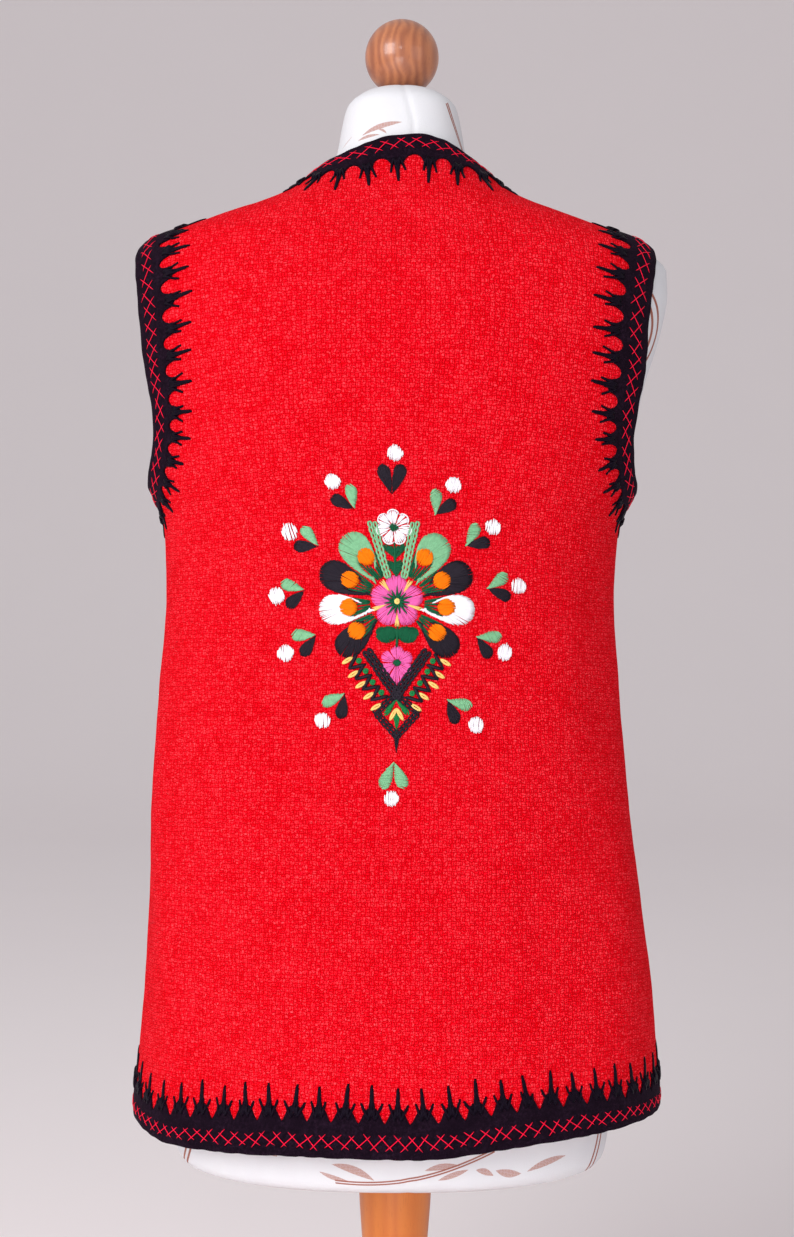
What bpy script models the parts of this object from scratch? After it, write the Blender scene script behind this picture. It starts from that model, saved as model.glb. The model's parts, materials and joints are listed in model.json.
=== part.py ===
"""An embroidered folk vest worn by a limbless dress form, in metres, +Z up.

The wearer faces +Y, so the back of the vest lies on the -Y side and its right side on +X.  The origin is the
centre of the underside of the base.  The vest is a wall of wool cloth in three panels, with a felt trim cut
in teeth lying on every edge.  Both the vest and the form follow level sections that are smoothly joined.
"""
import math
from collections import namedtuple

import bmesh
import bpy
import numpy as np
from mathutils.geometry import delaunay_2d_cdt

# ---------------------------------------------------------------- driving dimensions
WALL = 0.0020               # wool hopsack with its turned edge
FELT = 0.0013               # felt of the trim
GAP = 0.0003                # between pieces that touch or are sewn together
FRONT_PARTING = 0.0020      # between the two front edges
SEAM_CATCH = 0.0003         # points this near a seam are drawn onto it
FACET = 0.028               # length of the facets inside a panel
SHOULDER_FACET = 0.019      # and over the shoulders, which are rounder

CHEST_LEVEL = 0.850         # above this the chart climbs over the shoulders
CHART_RADIUS = 0.170        # turns the climb's angle into a length
SHOULDER_TIP_LEVEL = 0.9550
NECK_POINT = (0.0650, 1.0105)       # half width and level where neckline and shoulder meet
BACK_NECK_LEVEL = 1.0270
FRONT_NECK_LEVEL = 0.9150
FRONT_NECK_ROUNDNESS = 1.5

ARMHOLE_BOTTOM = 0.7680
ARMHOLE_BACK_REACH = 0.0540
ARMHOLE_FRONT_REACH = 0.0580
ARMHOLE_SQUARENESS = 2.7

# A section's half width to either side, its reach back and front, and how far its middle leans to the right.
Section = namedtuple("Section", "z half_width back front lean", defaults=(0.0,))
SECTION_SQUARENESS = 2.3
VEST_SECTIONS = (
    Section(z=0.2500, half_width=0.2015, back=0.1310, front=0.1340, lean=0.0010),
    Section(z=0.3000, half_width=0.2005, back=0.1290, front=0.1310, lean=0.0010),
    Section(z=0.3400, half_width=0.1985, back=0.1255, front=0.1285, lean=0.0015),
    Section(z=0.3740, half_width=0.1960, back=0.1220, front=0.1260, lean=0.0015),
    Section(z=0.4520, half_width=0.1890, back=0.1160, front=0.1210, lean=-0.0010),
    Section(z=0.5290, half_width=0.1830, back=0.1100, front=0.1170, lean=-0.0055),
    Section(z=0.6220, half_width=0.1765, back=0.1010, front=0.1140, lean=-0.0065),
    Section(z=0.6840, half_width=0.1725, back=0.0980, front=0.1170, lean=-0.0065),
    Section(z=0.7380, half_width=0.1745, back=0.0995, front=0.1220, lean=-0.0060),
    Section(z=0.7770, half_width=0.1870, back=0.1025, front=0.1255, lean=-0.0045),
    Section(z=0.8200, half_width=0.1960, back=0.1060, front=0.1255, lean=-0.0030),
    Section(z=0.8600, half_width=0.2045, back=0.1075, front=0.1190, lean=-0.0030),
    Section(z=0.9000, half_width=0.2095, back=0.1040, front=0.1040, lean=-0.0030),
    Section(z=0.9200, half_width=0.2105, back=0.0995, front=0.0950, lean=-0.0025),
    Section(z=0.9370, half_width=0.2085, back=0.0935, front=0.0870, lean=-0.0025),
    Section(z=0.9460, half_width=0.2030, back=0.0900, front=0.0825, lean=-0.0025),
    Section(z=0.9510, half_width=0.1980, back=0.0880, front=0.0800, lean=-0.0025),
    Section(z=0.9562, half_width=0.1915, back=0.0855, front=0.0770, lean=-0.0030),
    Section(z=0.9617, half_width=0.1775, back=0.0830, front=0.0740, lean=-0.0030),
    Section(z=0.9732, half_width=0.1460, back=0.0780, front=0.0690, lean=-0.0030),
    Section(z=0.9846, half_width=0.1115, back=0.0730, front=0.0645, lean=-0.0025),
    Section(z=0.9960, half_width=0.0865, back=0.0675, front=0.0605, lean=-0.0015),
    Section(z=1.0073, half_width=0.0705, back=0.0630, front=0.0575),
    Section(z=1.0185, half_width=0.0585, back=0.0595, front=0.0550),
    Section(z=1.0270, half_width=0.0540, back=0.0568, front=0.0530),
    Section(z=1.0600, half_width=0.0400, back=0.0450, front=0.0430),
)
FORM_SECTIONS = (
    Section(z=0.2570, half_width=0.1540, back=0.0950, front=0.0970),
    Section(z=0.2595, half_width=0.1600, back=0.1005, front=0.1025),
    Section(z=0.2670, half_width=0.1645, back=0.1045, front=0.1065),
    Section(z=0.2850, half_width=0.1670, back=0.1065, front=0.1090),
    Section(z=0.3300, half_width=0.1685, back=0.1080, front=0.1110),
    Section(z=0.4000, half_width=0.1660, back=0.1060, front=0.1090),
    Section(z=0.4800, half_width=0.1570, back=0.1000, front=0.1040),
    Section(z=0.5600, half_width=0.1400, back=0.0890, front=0.0960),
    Section(z=0.6400, half_width=0.1290, back=0.0800, front=0.0910),
    Section(z=0.7000, half_width=0.1420, back=0.0850, front=0.1020),
    Section(z=0.7500, half_width=0.1630, back=0.0920, front=0.1130),
    Section(z=0.8000, half_width=0.1820, back=0.0980, front=0.1180),
    Section(z=0.8600, half_width=0.1985, back=0.1010, front=0.1120),
    Section(z=0.8930, half_width=0.2040, back=0.0990, front=0.1000),
    Section(z=0.9200, half_width=0.2060, back=0.0930, front=0.0880),
    Section(z=0.9370, half_width=0.2040, back=0.0875, front=0.0810),
    Section(z=0.9450, half_width=0.1965, back=0.0850, front=0.0780),
    Section(z=0.9510, half_width=0.1865, back=0.0830, front=0.0745),
    Section(z=0.9566, half_width=0.1728, back=0.0805, front=0.0715),
    Section(z=0.9681, half_width=0.1430, back=0.0755, front=0.0665),
    Section(z=0.9795, half_width=0.1080, back=0.0705, front=0.0620),
    Section(z=0.9909, half_width=0.0835, back=0.0650, front=0.0580),
    Section(z=1.0024, half_width=0.0675, back=0.0605, front=0.0550),
    Section(z=1.0138, half_width=0.0550, back=0.0565, front=0.0515),
    Section(z=1.0280, half_width=0.0495, back=0.0520, front=0.0475),
    Section(z=1.0450, half_width=0.0465, back=0.0475, front=0.0440),
    Section(z=1.0630, half_width=0.0420, back=0.0425, front=0.0400),
    Section(z=1.0710, half_width=0.0335, back=0.0340, front=0.0325),
    Section(z=1.0755, half_width=0.0245, back=0.0248, front=0.0240),
    Section(z=1.0770, half_width=0.0160, back=0.0160, front=0.0155),
)
FORM_SIDES = 32

# The vest's largest folds.  A fold runs between two places, each given by the way round from the centre
# back (right is positive) and by the height, and it stands out where its rise is positive.
Fold = namedtuple("Fold", "around0 z0 around1 z1 breadth rise")
VEST_FOLDS = (
    Fold(around0=-0.111, z0=0.620, around1=-0.158, z1=0.515, breadth=0.022, rise=0.0030),
    Fold(around0=-0.188, z0=0.620, around1=-0.192, z1=0.340, breadth=0.016, rise=0.0035),
    Fold(around0=-0.150, z0=0.430, around1=-0.158, z1=0.300, breadth=0.022, rise=-0.0040),
    Fold(around0=0.165, z0=0.710, around1=0.168, z1=0.560, breadth=0.020, rise=-0.0030),
    Fold(around0=0.190, z0=0.560, around1=0.182, z1=0.330, breadth=0.024, rise=0.0030),
    Fold(around0=0.060, z0=0.860, around1=0.018, z1=0.815, breadth=0.016, rise=-0.0020),
    Fold(around0=0.092, z0=0.790, around1=0.035, z1=0.735, breadth=0.016, rise=-0.0020),
    Fold(around0=-0.300, z0=0.600, around1=-0.330, z1=0.360, breadth=0.024, rise=-0.0035),
    Fold(around0=-0.262, z0=0.640, around1=-0.275, z1=0.380, breadth=0.022, rise=0.0035),
    Fold(around0=0.285, z0=0.640, around1=0.305, z1=0.360, breadth=0.024, rise=0.0035),
    Fold(around0=0.330, z0=0.560, around1=0.350, z1=0.320, breadth=0.022, rise=-0.0030),
)

# The hem's height on its way round, lowest behind the left hip.
HemPoint = namedtuple("HemPoint", "around z")
HEM_LINE = (
    HemPoint(around=-0.480, z=0.2915),
    HemPoint(around=-0.267, z=0.2898),
    HemPoint(around=-0.230, z=0.2888),
    HemPoint(around=-0.190, z=0.2867),
    HemPoint(around=-0.150, z=0.2878),
    HemPoint(around=-0.080, z=0.2920),
    HemPoint(around=0.000, z=0.2938),
    HemPoint(around=0.080, z=0.2965),
    HemPoint(around=0.140, z=0.3003),
    HemPoint(around=0.200, z=0.3012),
    HemPoint(around=0.267, z=0.2945),
    HemPoint(around=0.480, z=0.2915),
)
HEM_RADIUS = 0.170          # turns the hem's angle round the body into its way round

# A trim reaches from its edge to the valleys between its teeth, and the teeth stand on from there.  The
# profile gives, for one tooth, shares of the pitch and of the tooth's height.
Trim = namedtuple("Trim", "valley tooth pitch profile")
SAW = ((0.0, 0.0), (0.5, 1.0))
SCALLOP = ((0.0, 0.0), (0.22, 0.12), (0.5, 1.0), (0.78, 0.12))
NECK_TRIM = Trim(valley=0.0195, tooth=0.0080, pitch=0.0215, profile=SCALLOP)
ARMHOLE_TRIM = Trim(valley=0.0220, tooth=0.0110, pitch=0.0200, profile=SCALLOP)
HEM_TRIM = Trim(valley=0.0245, tooth=0.0110, pitch=0.0180, profile=SAW)
FRONT_TRIM = Trim(valley=0.0220, tooth=0.0100, pitch=0.0200, profile=SAW)
CORNER_PLAIN = 0.0115       # stretch without teeth on either side of a trim's corner

# The turned parts, as level and radius from the top down.
Turning = namedtuple("Turning", "z radius")
BALL_RADIUS = 0.0285
BALL_CENTRE = 1.1040
BASE_RADIUS = 0.1700
BASE_HEIGHT = 0.0260
BASE_EDGE = 0.0060
POLE_TURNINGS = (
    Turning(z=FORM_SECTIONS[0].z - GAP, radius=0.0290),
    Turning(z=0.2230, radius=0.0276),
    Turning(z=0.1910, radius=0.0253),
    Turning(z=0.1550, radius=0.0222),
    Turning(z=0.1200, radius=0.0200),
    Turning(z=0.0900, radius=0.0205),
    Turning(z=0.0700, radius=0.0235),
    Turning(z=0.0600, radius=0.0290),
    Turning(z=0.0550, radius=0.0300),
    Turning(z=0.0500, radius=0.0290),
    Turning(z=0.0470, radius=0.0260),
    Turning(z=0.0420, radius=0.0280),
    Turning(z=0.0340, radius=0.0360),
    Turning(z=0.0290, radius=0.0440),
    Turning(z=BASE_HEIGHT + GAP, radius=0.0450),
)
TURNED_SIDES = 24

# Colours as linear red, green and blue, then roughness and metallic value.
Finish = namedtuple("Finish", "colour roughness metallic")
RED_WOOL = Finish((0.780, 0.010, 0.014), 0.90, 0.0)
BLACK_FELT = Finish((0.012, 0.011, 0.018), 0.95, 0.0)
WHITE_COVER = Finish((0.800, 0.800, 0.830), 0.75, 0.0)
BROWN_WOOD = Finish((0.230, 0.090, 0.030), 0.25, 0.0)
LIGHT_WOOD = Finish((0.600, 0.270, 0.080), 0.35, 0.0)


# ---------------------------------------------------------------- smooth sections
def smooth_slopes(knots, values):
    """Slopes that join the values smoothly and never overshoot them."""
    steps = np.diff(knots)
    rises = np.diff(values) / steps
    slopes = np.zeros(len(values))
    slopes[0], slopes[-1] = rises[0], rises[-1]
    for i in range(1, len(values) - 1):
        if rises[i - 1] * rises[i] > 0.0:
            before = 2.0 * steps[i] + steps[i - 1]
            after = steps[i] + 2.0 * steps[i - 1]
            slopes[i] = (before + after) / (before / rises[i - 1] + after / rises[i])
    return slopes


def smooth_curve(knots, values):
    """A function that runs smoothly through the values at the knots."""
    knots = np.array(knots)
    values = np.array(values)
    slopes = smooth_slopes(knots, values)

    def curve(x):
        x = np.clip(x, knots[0], knots[-1])
        i = np.clip(np.searchsorted(knots, x) - 1, 0, len(knots) - 2)
        step = knots[i + 1] - knots[i]
        t = (x - knots[i]) / step
        return ((2 * t ** 3 - 3 * t ** 2 + 1) * values[i] + (t ** 3 - 2 * t ** 2 + t) * step * slopes[i]
                + (3 * t ** 2 - 2 * t ** 3) * values[i + 1] + (t ** 3 - t ** 2) * step * slopes[i + 1])

    return curve


class Body:
    """A round body given by level sections whose back and front may differ."""

    def __init__(self, sections):
        levels = [row.z for row in sections]
        self.half_width = smooth_curve(levels, [row.half_width for row in sections])
        self.back = smooth_curve(levels, [row.back for row in sections])
        self.front = smooth_curve(levels, [row.front for row in sections])
        self.lean = smooth_curve(levels, [row.lean for row in sections])

    def depth(self, points):
        """How far out each point lies, as a share of the section at its level; 1 is on the surface."""
        z = points[:, 2]
        reach = np.where(points[:, 1] < 0.0, self.back(z), self.front(z))
        across = np.abs(points[:, 0] - self.lean(z)) / self.half_width(z)
        along = np.abs(points[:, 1]) / reach
        return (across ** SECTION_SQUARENESS + along ** SECTION_SQUARENESS) ** (1.0 / SECTION_SQUARENESS)

    def cast(self, centres, directions):
        """The points where rays from inside leave the surface."""
        near = np.full(len(centres), 0.01)
        far = np.full(len(centres), 0.40)
        for _ in range(44):
            middle = 0.5 * (near + far)
            inside = self.depth(centres + directions * middle[:, None]) < 1.0
            near = np.where(inside, middle, near)
            far = np.where(inside, far, middle)
        return centres + directions * near[:, None]

    def normals(self, points):
        """Unit vectors that point out of the surface."""
        step = 2.0e-4
        slopes = []
        for axis in np.eye(3) * step:
            slopes.append(self.depth(points + axis) - self.depth(points - axis))
        vectors = np.array(slopes).T
        return vectors / np.linalg.norm(vectors, axis=1)[:, None]

    def settle(self, points):
        """Bring points that lie near the surface onto it."""
        for _ in range(4):
            normals = self.normals(points)
            step = 1.0e-4
            slope = (self.depth(points + normals * step) - self.depth(points - normals * step)) / (2 * step)
            points = points - normals * ((self.depth(points) - 1.0) / slope)[:, None]
        return points


VEST = Body(VEST_SECTIONS)
FORM = Body(FORM_SECTIONS)
hem_level = smooth_curve([point.around for point in HEM_LINE], [point.z for point in HEM_LINE])


# ---------------------------------------------------------------- the flat chart of the vest
def on_vest(angles, heights):
    """Surface points from the angle round from the centre back and the chart's height."""
    angles = np.asarray(angles, dtype=float)
    heights = np.asarray(heights, dtype=float)
    climb = np.maximum(heights - CHEST_LEVEL, 0.0) / CHART_RADIUS
    centres = np.zeros((len(angles), 3))
    centres[:, 2] = np.minimum(heights, CHEST_LEVEL)
    directions = np.stack([np.sin(angles) * np.cos(climb), -np.cos(angles) * np.cos(climb), np.sin(climb)], 1)
    return VEST.cast(centres, directions)


def chart_height(points):
    """The chart's height: the level, and above the chest the climb towards the neck."""
    climb = np.arctan2(points[:, 2] - CHEST_LEVEL, np.hypot(points[:, 0], points[:, 1]))
    return np.where(points[:, 2] < CHEST_LEVEL, points[:, 2], CHEST_LEVEL + CHART_RADIUS * climb)


def chart_radius(heights):
    """Radius that turns the angle round the body into a length at each height."""
    points = on_vest(np.full(len(heights), math.radians(52.0)), heights)
    return np.hypot(points[:, 0], points[:, 1])


def to_chart(points):
    """Flatten surface points: the way round from the centre back, and the height."""
    heights = chart_height(points)
    angles = np.arctan2(points[:, 0], -points[:, 1])
    return np.stack([angles * chart_radius(heights), heights], 1)


def from_chart(flat):
    """Surface points of flattened ones."""
    return on_vest(flat[:, 0] / chart_radius(flat[:, 1]), flat[:, 1])


def fold_rise(points):
    """How far the folds lift the cloth off its plain form at each point."""
    flat = to_chart(points)
    rise = np.zeros(len(points))
    for fold in VEST_FOLDS:
        start = np.array([fold.around0, fold.z0])
        run = np.array([fold.around1, fold.z1]) - start
        share = np.clip((flat - start) @ run / (run @ run), 0.0, 1.0)
        distance = np.linalg.norm(flat - start - share[:, None] * run, axis=1)
        taper = 0.35 + 0.65 * np.sin(math.pi * np.clip(share, 0.0, 1.0))
        rise += fold.rise * taper * np.exp(-(distance / fold.breadth) ** 2)
    return rise


# ---------------------------------------------------------------- edges of the panels
def climb_of(level, reach):
    """The chart's height of a place at a level and a distance from the axis."""
    return CHEST_LEVEL + CHART_RADIUS * math.atan2(level - CHEST_LEVEL, reach)


NECK_POINT_HEIGHT = climb_of(NECK_POINT[1], NECK_POINT[0])
BACK_NECK_HEIGHT = climb_of(BACK_NECK_LEVEL, float(VEST.back(BACK_NECK_LEVEL)))
FRONT_NECK_HEIGHT = climb_of(FRONT_NECK_LEVEL, float(VEST.front(FRONT_NECK_LEVEL)))


def back_neck_edge(shares):
    """The back neckline, from the left neck point to the right one."""
    angles = (shares - 0.5) * math.pi
    drop = BACK_NECK_HEIGHT - NECK_POINT_HEIGHT
    return on_vest(angles, BACK_NECK_HEIGHT - drop * np.sin(angles) ** 2)


def front_neck_edge(shares, side):
    """One half of the front neckline, from the neck point to the centre front."""
    last = math.pi - 0.5 * FRONT_PARTING / float(VEST.front(FRONT_NECK_LEVEL))
    angles = 0.5 * math.pi + shares * (last - 0.5 * math.pi)
    rise = NECK_POINT_HEIGHT - FRONT_NECK_HEIGHT
    heights = FRONT_NECK_HEIGHT + rise * np.abs(np.sin(angles)) ** FRONT_NECK_ROUNDNESS
    return on_vest(side * angles, heights)


def armhole_edge(shares, side, reach):
    """One half of an armhole, from the shoulder tip down; a negative reach is the back half."""
    turn = math.pi * shares
    middle = 0.5 * (SHOULDER_TIP_LEVEL + ARMHOLE_BOTTOM)
    half_height = 0.5 * (SHOULDER_TIP_LEVEL - ARMHOLE_BOTTOM)
    power = 2.0 / ARMHOLE_SQUARENESS
    z = middle + half_height * np.sign(np.cos(turn)) * np.abs(np.cos(turn)) ** power
    y = reach * np.abs(np.sin(turn)) ** power
    edge = VEST.back(z) if reach < 0.0 else VEST.front(z)
    share = 1.0 - (np.abs(y) / edge) ** SECTION_SQUARENESS
    x = VEST.lean(z) + side * VEST.half_width(z) * share ** (1.0 / SECTION_SQUARENESS)
    return np.stack([x, y, z], 1)


def hem_edge(start, end, shares):
    """The hem between two angles round from the centre back."""
    angles = start + shares * (end - start)
    return on_vest(angles, hem_level(angles * HEM_RADIUS))


def front_edge(heights, side):
    """Points down one front edge, which stands half the parting off the centre."""
    reach = VEST.front(np.minimum(heights, CHEST_LEVEL))
    angles = math.pi - 0.5 * FRONT_PARTING / reach
    return on_vest(side * angles, heights)


def shoulder_edge(heights, side):
    """Points on the shoulder line or the side seam, where back and front are sewn."""
    return on_vest(np.full(len(heights), side * 0.5 * math.pi), heights)


def shares_at(edge, lengths):
    """Shares of an edge that lie at given lengths from its start."""
    dense = np.linspace(0.0, 1.0, 241)
    points = edge(dense)
    run = np.concatenate([[0.0], np.cumsum(np.linalg.norm(np.diff(points, axis=0), axis=1))])
    return np.interp(lengths, run, dense)


def edge_length(edge):
    """Length of an edge."""
    return float(np.linalg.norm(np.diff(edge(np.linspace(0.0, 1.0, 241)), axis=0), axis=1).sum())


def inward(edge, shares, turn):
    """Unit vectors along the cloth, square to the edge; turn says which side the cloth lies on."""
    step = 1.0e-3
    ahead = edge(np.minimum(shares + step, 1.0)) - edge(np.maximum(shares - step, 0.0))
    vectors = turn * np.cross(VEST.normals(edge(shares)), ahead)
    return vectors / np.linalg.norm(vectors, axis=1)[:, None]


def walk(points, directions, distances):
    """Walk over the cloth from each point in a straight line."""
    steps = 6
    for _ in range(steps):
        points = VEST.settle(points + directions * (distances / steps)[:, None])
        normals = VEST.normals(points)
        directions = directions - normals * np.sum(directions * normals, axis=1)[:, None]
        directions = directions / np.linalg.norm(directions, axis=1)[:, None]
    return points


def toothed_line(edge, turn, trim, plain_start=0.0, plain_end=0.0):
    """Outline points of a trim's teeth along an edge, and the edge points that they stand on.

    The trim may stay plain for a length at either end, where it turns a corner.
    """
    length = edge_length(edge)
    teeth = max(1, round((length - plain_start - plain_end) / trim.pitch))
    marks = np.linspace(plain_start, length - plain_end, teeth + 1)
    places = [0.0] if plain_start > 0.0 else []
    depths = [trim.valley] if plain_start > 0.0 else []
    for start, end in zip(marks, marks[1:]):
        for place, height in trim.profile:
            places.append(start + place * (end - start))
            depths.append(trim.valley + height * trim.tooth)
    ends = [marks[-1], length] if plain_end > 0.0 else [marks[-1]]
    places += ends
    depths += [trim.valley] * len(ends)
    shares = shares_at(edge, np.array(places))
    feet = edge(shares)
    tips = walk(feet, inward(edge, shares, turn), np.array(depths))
    tips[np.abs(feet[:, 1]) < SEAM_CATCH, 1] = 0.0
    footing = sorted({*([0.0] if plain_start > 0.0 else []), *marks, *ends})
    return tips, edge(shares_at(edge, np.array(footing)))


# ---------------------------------------------------------------- panels
def inside(flat, outline):
    """Which flat points lie inside an outline."""
    result = np.zeros(len(flat), dtype=bool)
    for (u0, v0), (u1, v1) in zip(outline, np.roll(outline, -1, axis=0)):
        crosses = (v0 > flat[:, 1]) != (v1 > flat[:, 1])
        reach = u0 + (flat[:, 1] - v0) * (u1 - u0) / (v1 - v0 if v1 != v0 else 1.0)
        result ^= crosses & (flat[:, 0] < reach)
    return result


def clear_of(flat, outline, distance):
    """Which flat points keep a distance from an outline."""
    result = np.ones(len(flat), dtype=bool)
    for first, second in zip(outline, np.roll(outline, -1, axis=0)):
        run = second - first
        share = np.clip((flat - first) @ run / max(run @ run, 1.0e-12), 0.0, 1.0)
        result &= np.linalg.norm(flat - first - share[:, None] * run, axis=1) > distance
    return result


def facet_at(height):
    """Length of the facets at a height of the chart."""
    return FACET if height < CHEST_LEVEL else SHOULDER_FACET


def counterclockwise(outline):
    """The outline turned so that it runs counterclockwise."""
    u, v = outline[:, 0], outline[:, 1]
    area = np.sum(u * np.roll(v, -1) - np.roll(u, -1) * v)
    return outline if area > 0.0 else outline[::-1]


def filling(outlines):
    """Evenly spread points inside the first outline, clear of all the outlines."""
    low = outlines[0].min(axis=0)
    high = outlines[0].max(axis=0)
    points = []
    height = low[1]
    odd = False
    while height < high[1]:
        facet = facet_at(height)
        shift = 0.5 * facet if odd else 0.0
        points += [(around, height) for around in np.arange(low[0] + shift, high[0], facet)]
        height += 0.87 * facet
        odd = not odd
    points = np.array(points)
    points = points[inside(points, outlines[0])]
    for outline in outlines:
        points = points[clear_of(points, outline, 0.45 * SHOULDER_FACET)]
    return points


def triangulate(outlines):
    """Triangles over a panel's outline, with the trims' outlines among their edges.

    Gives the flat points, the triangles, and for each triangle the outlines that it lies in.
    """
    flat = [filling(outlines)]
    polygons = []
    count = len(flat[0])
    for outline in outlines:
        flat.append(outline)
        polygons.append(list(range(count, count + len(outline))))
        count += len(outline)
    points = [tuple(point) for point in np.concatenate(flat)]
    result = delaunay_2d_cdt(points, [], polygons, 1, 1.0e-6)
    flat = np.array([tuple(point) for point in result[0]])
    return flat, [tuple(face) for face in result[2]], result[5]


def part_at_seam(points, base, seam_side):
    """Draw points that lie on the shoulder and side seam back by half the gap."""
    on_seam = np.abs(base[:, 1]) < 1.0e-6
    points[on_seam, 1] = seam_side * 0.5 * GAP
    return points


def slab(name, low, high, triangles, finish):
    """A closed wall between two skins of the same triangles."""
    used = sorted({corner for face in triangles for corner in face})
    index = {corner: place for place, corner in enumerate(used)}
    mesh = bmesh.new()
    inner = [mesh.verts.new(low[corner]) for corner in used]
    outer = [mesh.verts.new(high[corner]) for corner in used]
    rim = {}
    for face in triangles:
        corners = [index[corner] for corner in face]
        mesh.faces.new([outer[corner] for corner in corners])
        mesh.faces.new([inner[corner] for corner in reversed(corners)])
        for first, second in zip(corners, corners[1:] + corners[:1]):
            if rim.pop((second, first), None) is None:
                rim[(first, second)] = True
    for first, second in rim:
        mesh.faces.new([outer[second], outer[first], inner[first], inner[second]])
    bmesh.ops.recalc_face_normals(mesh, faces=mesh.faces[:])
    return add_object(name, mesh, finish)


def sewn_panel(name, outline, trims, seam_side):
    """A panel of the vest and the trims that lie on it, made from the panel's own points."""
    outlines = [counterclockwise(to_chart(points)) for points in [outline] + [trim[1] for trim in trims]]
    flat, triangles, sources = triangulate(outlines)
    base = from_chart(flat)
    base[np.abs(base[:, 1]) < SEAM_CATCH, 1] = 0.0
    normals = VEST.normals(base)
    outer = base + normals * fold_rise(base)[:, None]

    def skin(offset):
        return part_at_seam(outer + normals * offset, base, seam_side)

    slab(name, skin(-WALL), skin(0.0), triangles, RED_WOOL)
    for place, (trim_name, _, join) in enumerate(trims, start=1):
        faces = [face for face, source in zip(triangles, sources) if place in source]
        low, high = skin(GAP), skin(GAP + FELT)
        if join is not None:
            touching = np.linalg.norm(base[:, None, :] - join[None, :, :], axis=2).min(axis=1) < 1.0e-4
            shift = np.sign(join[0][0]) * GAP
            low[touching, 0] += shift
            high[touching, 0] += shift
        slab(trim_name, low, high, faces, BLACK_FELT)


def seam_points(high, low, side):
    """Points down a shoulder or side seam, without its two ends."""
    count = max(1, round((high - low) / facet_at(low)))
    heights = np.linspace(high, low, count + 1)[1:-1]
    return shoulder_edge(heights, side)


def heights_of(points):
    """The chart's height of a single point or of each in a list."""
    return chart_height(np.atleast_2d(points))


def build_back():
    """The back panel with its neck, armhole and hem trims."""
    right, left = 1, -1

    def right_armhole(shares):
        return armhole_edge(shares, right, -ARMHOLE_BACK_REACH)

    def left_armhole(shares):
        return armhole_edge(shares, left, -ARMHOLE_BACK_REACH)

    def hem(shares):
        return hem_edge(-0.5 * math.pi, 0.5 * math.pi, shares)

    neck_teeth, neck = toothed_line(back_neck_edge, -1, NECK_TRIM)
    right_teeth, right_arm = toothed_line(right_armhole, -1, ARMHOLE_TRIM)
    left_teeth, left_arm = toothed_line(left_armhole, 1, ARMHOLE_TRIM)
    hem_teeth, hem_points = toothed_line(hem, 1, HEM_TRIM)

    def seams(side, arm, arm_teeth, hem_end, hem_tooth_end):
        neck_end = neck[-1] if side == right else neck[0]
        neck_tooth = neck_teeth[-1] if side == right else neck_teeth[0]
        shoulder = [neck_tooth, *seam_points(heights_of(neck_tooth)[0], heights_of(arm_teeth[0])[0], side),
                    arm_teeth[0]]
        under = [arm_teeth[-1], *seam_points(heights_of(arm_teeth[-1])[0], heights_of(hem_tooth_end)[0], side),
                 hem_tooth_end]
        return [neck_end, *shoulder, *arm, *under, hem_end]

    right_side = seams(right, right_arm, right_teeth, hem_points[-1], hem_teeth[-1])
    left_side = seams(left, left_arm, left_teeth, hem_points[0], hem_teeth[0])
    outline = np.array([*hem_points, *right_side[-2::-1], *neck[-2:0:-1], *left_side[:-1]])
    trims = [
        ("trim_neck_back", np.array([*neck_teeth, *neck[::-1]]), None),
        ("trim_armhole_back_right", np.array([*right_teeth, *right_arm[::-1]]), None),
        ("trim_armhole_back_left", np.array([*left_arm, *left_teeth[::-1]]), None),
        ("trim_hem_back", np.array([*hem_points, *hem_teeth[::-1]]), None),
    ]
    sewn_panel("vest_back", outline, trims, -1)


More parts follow.
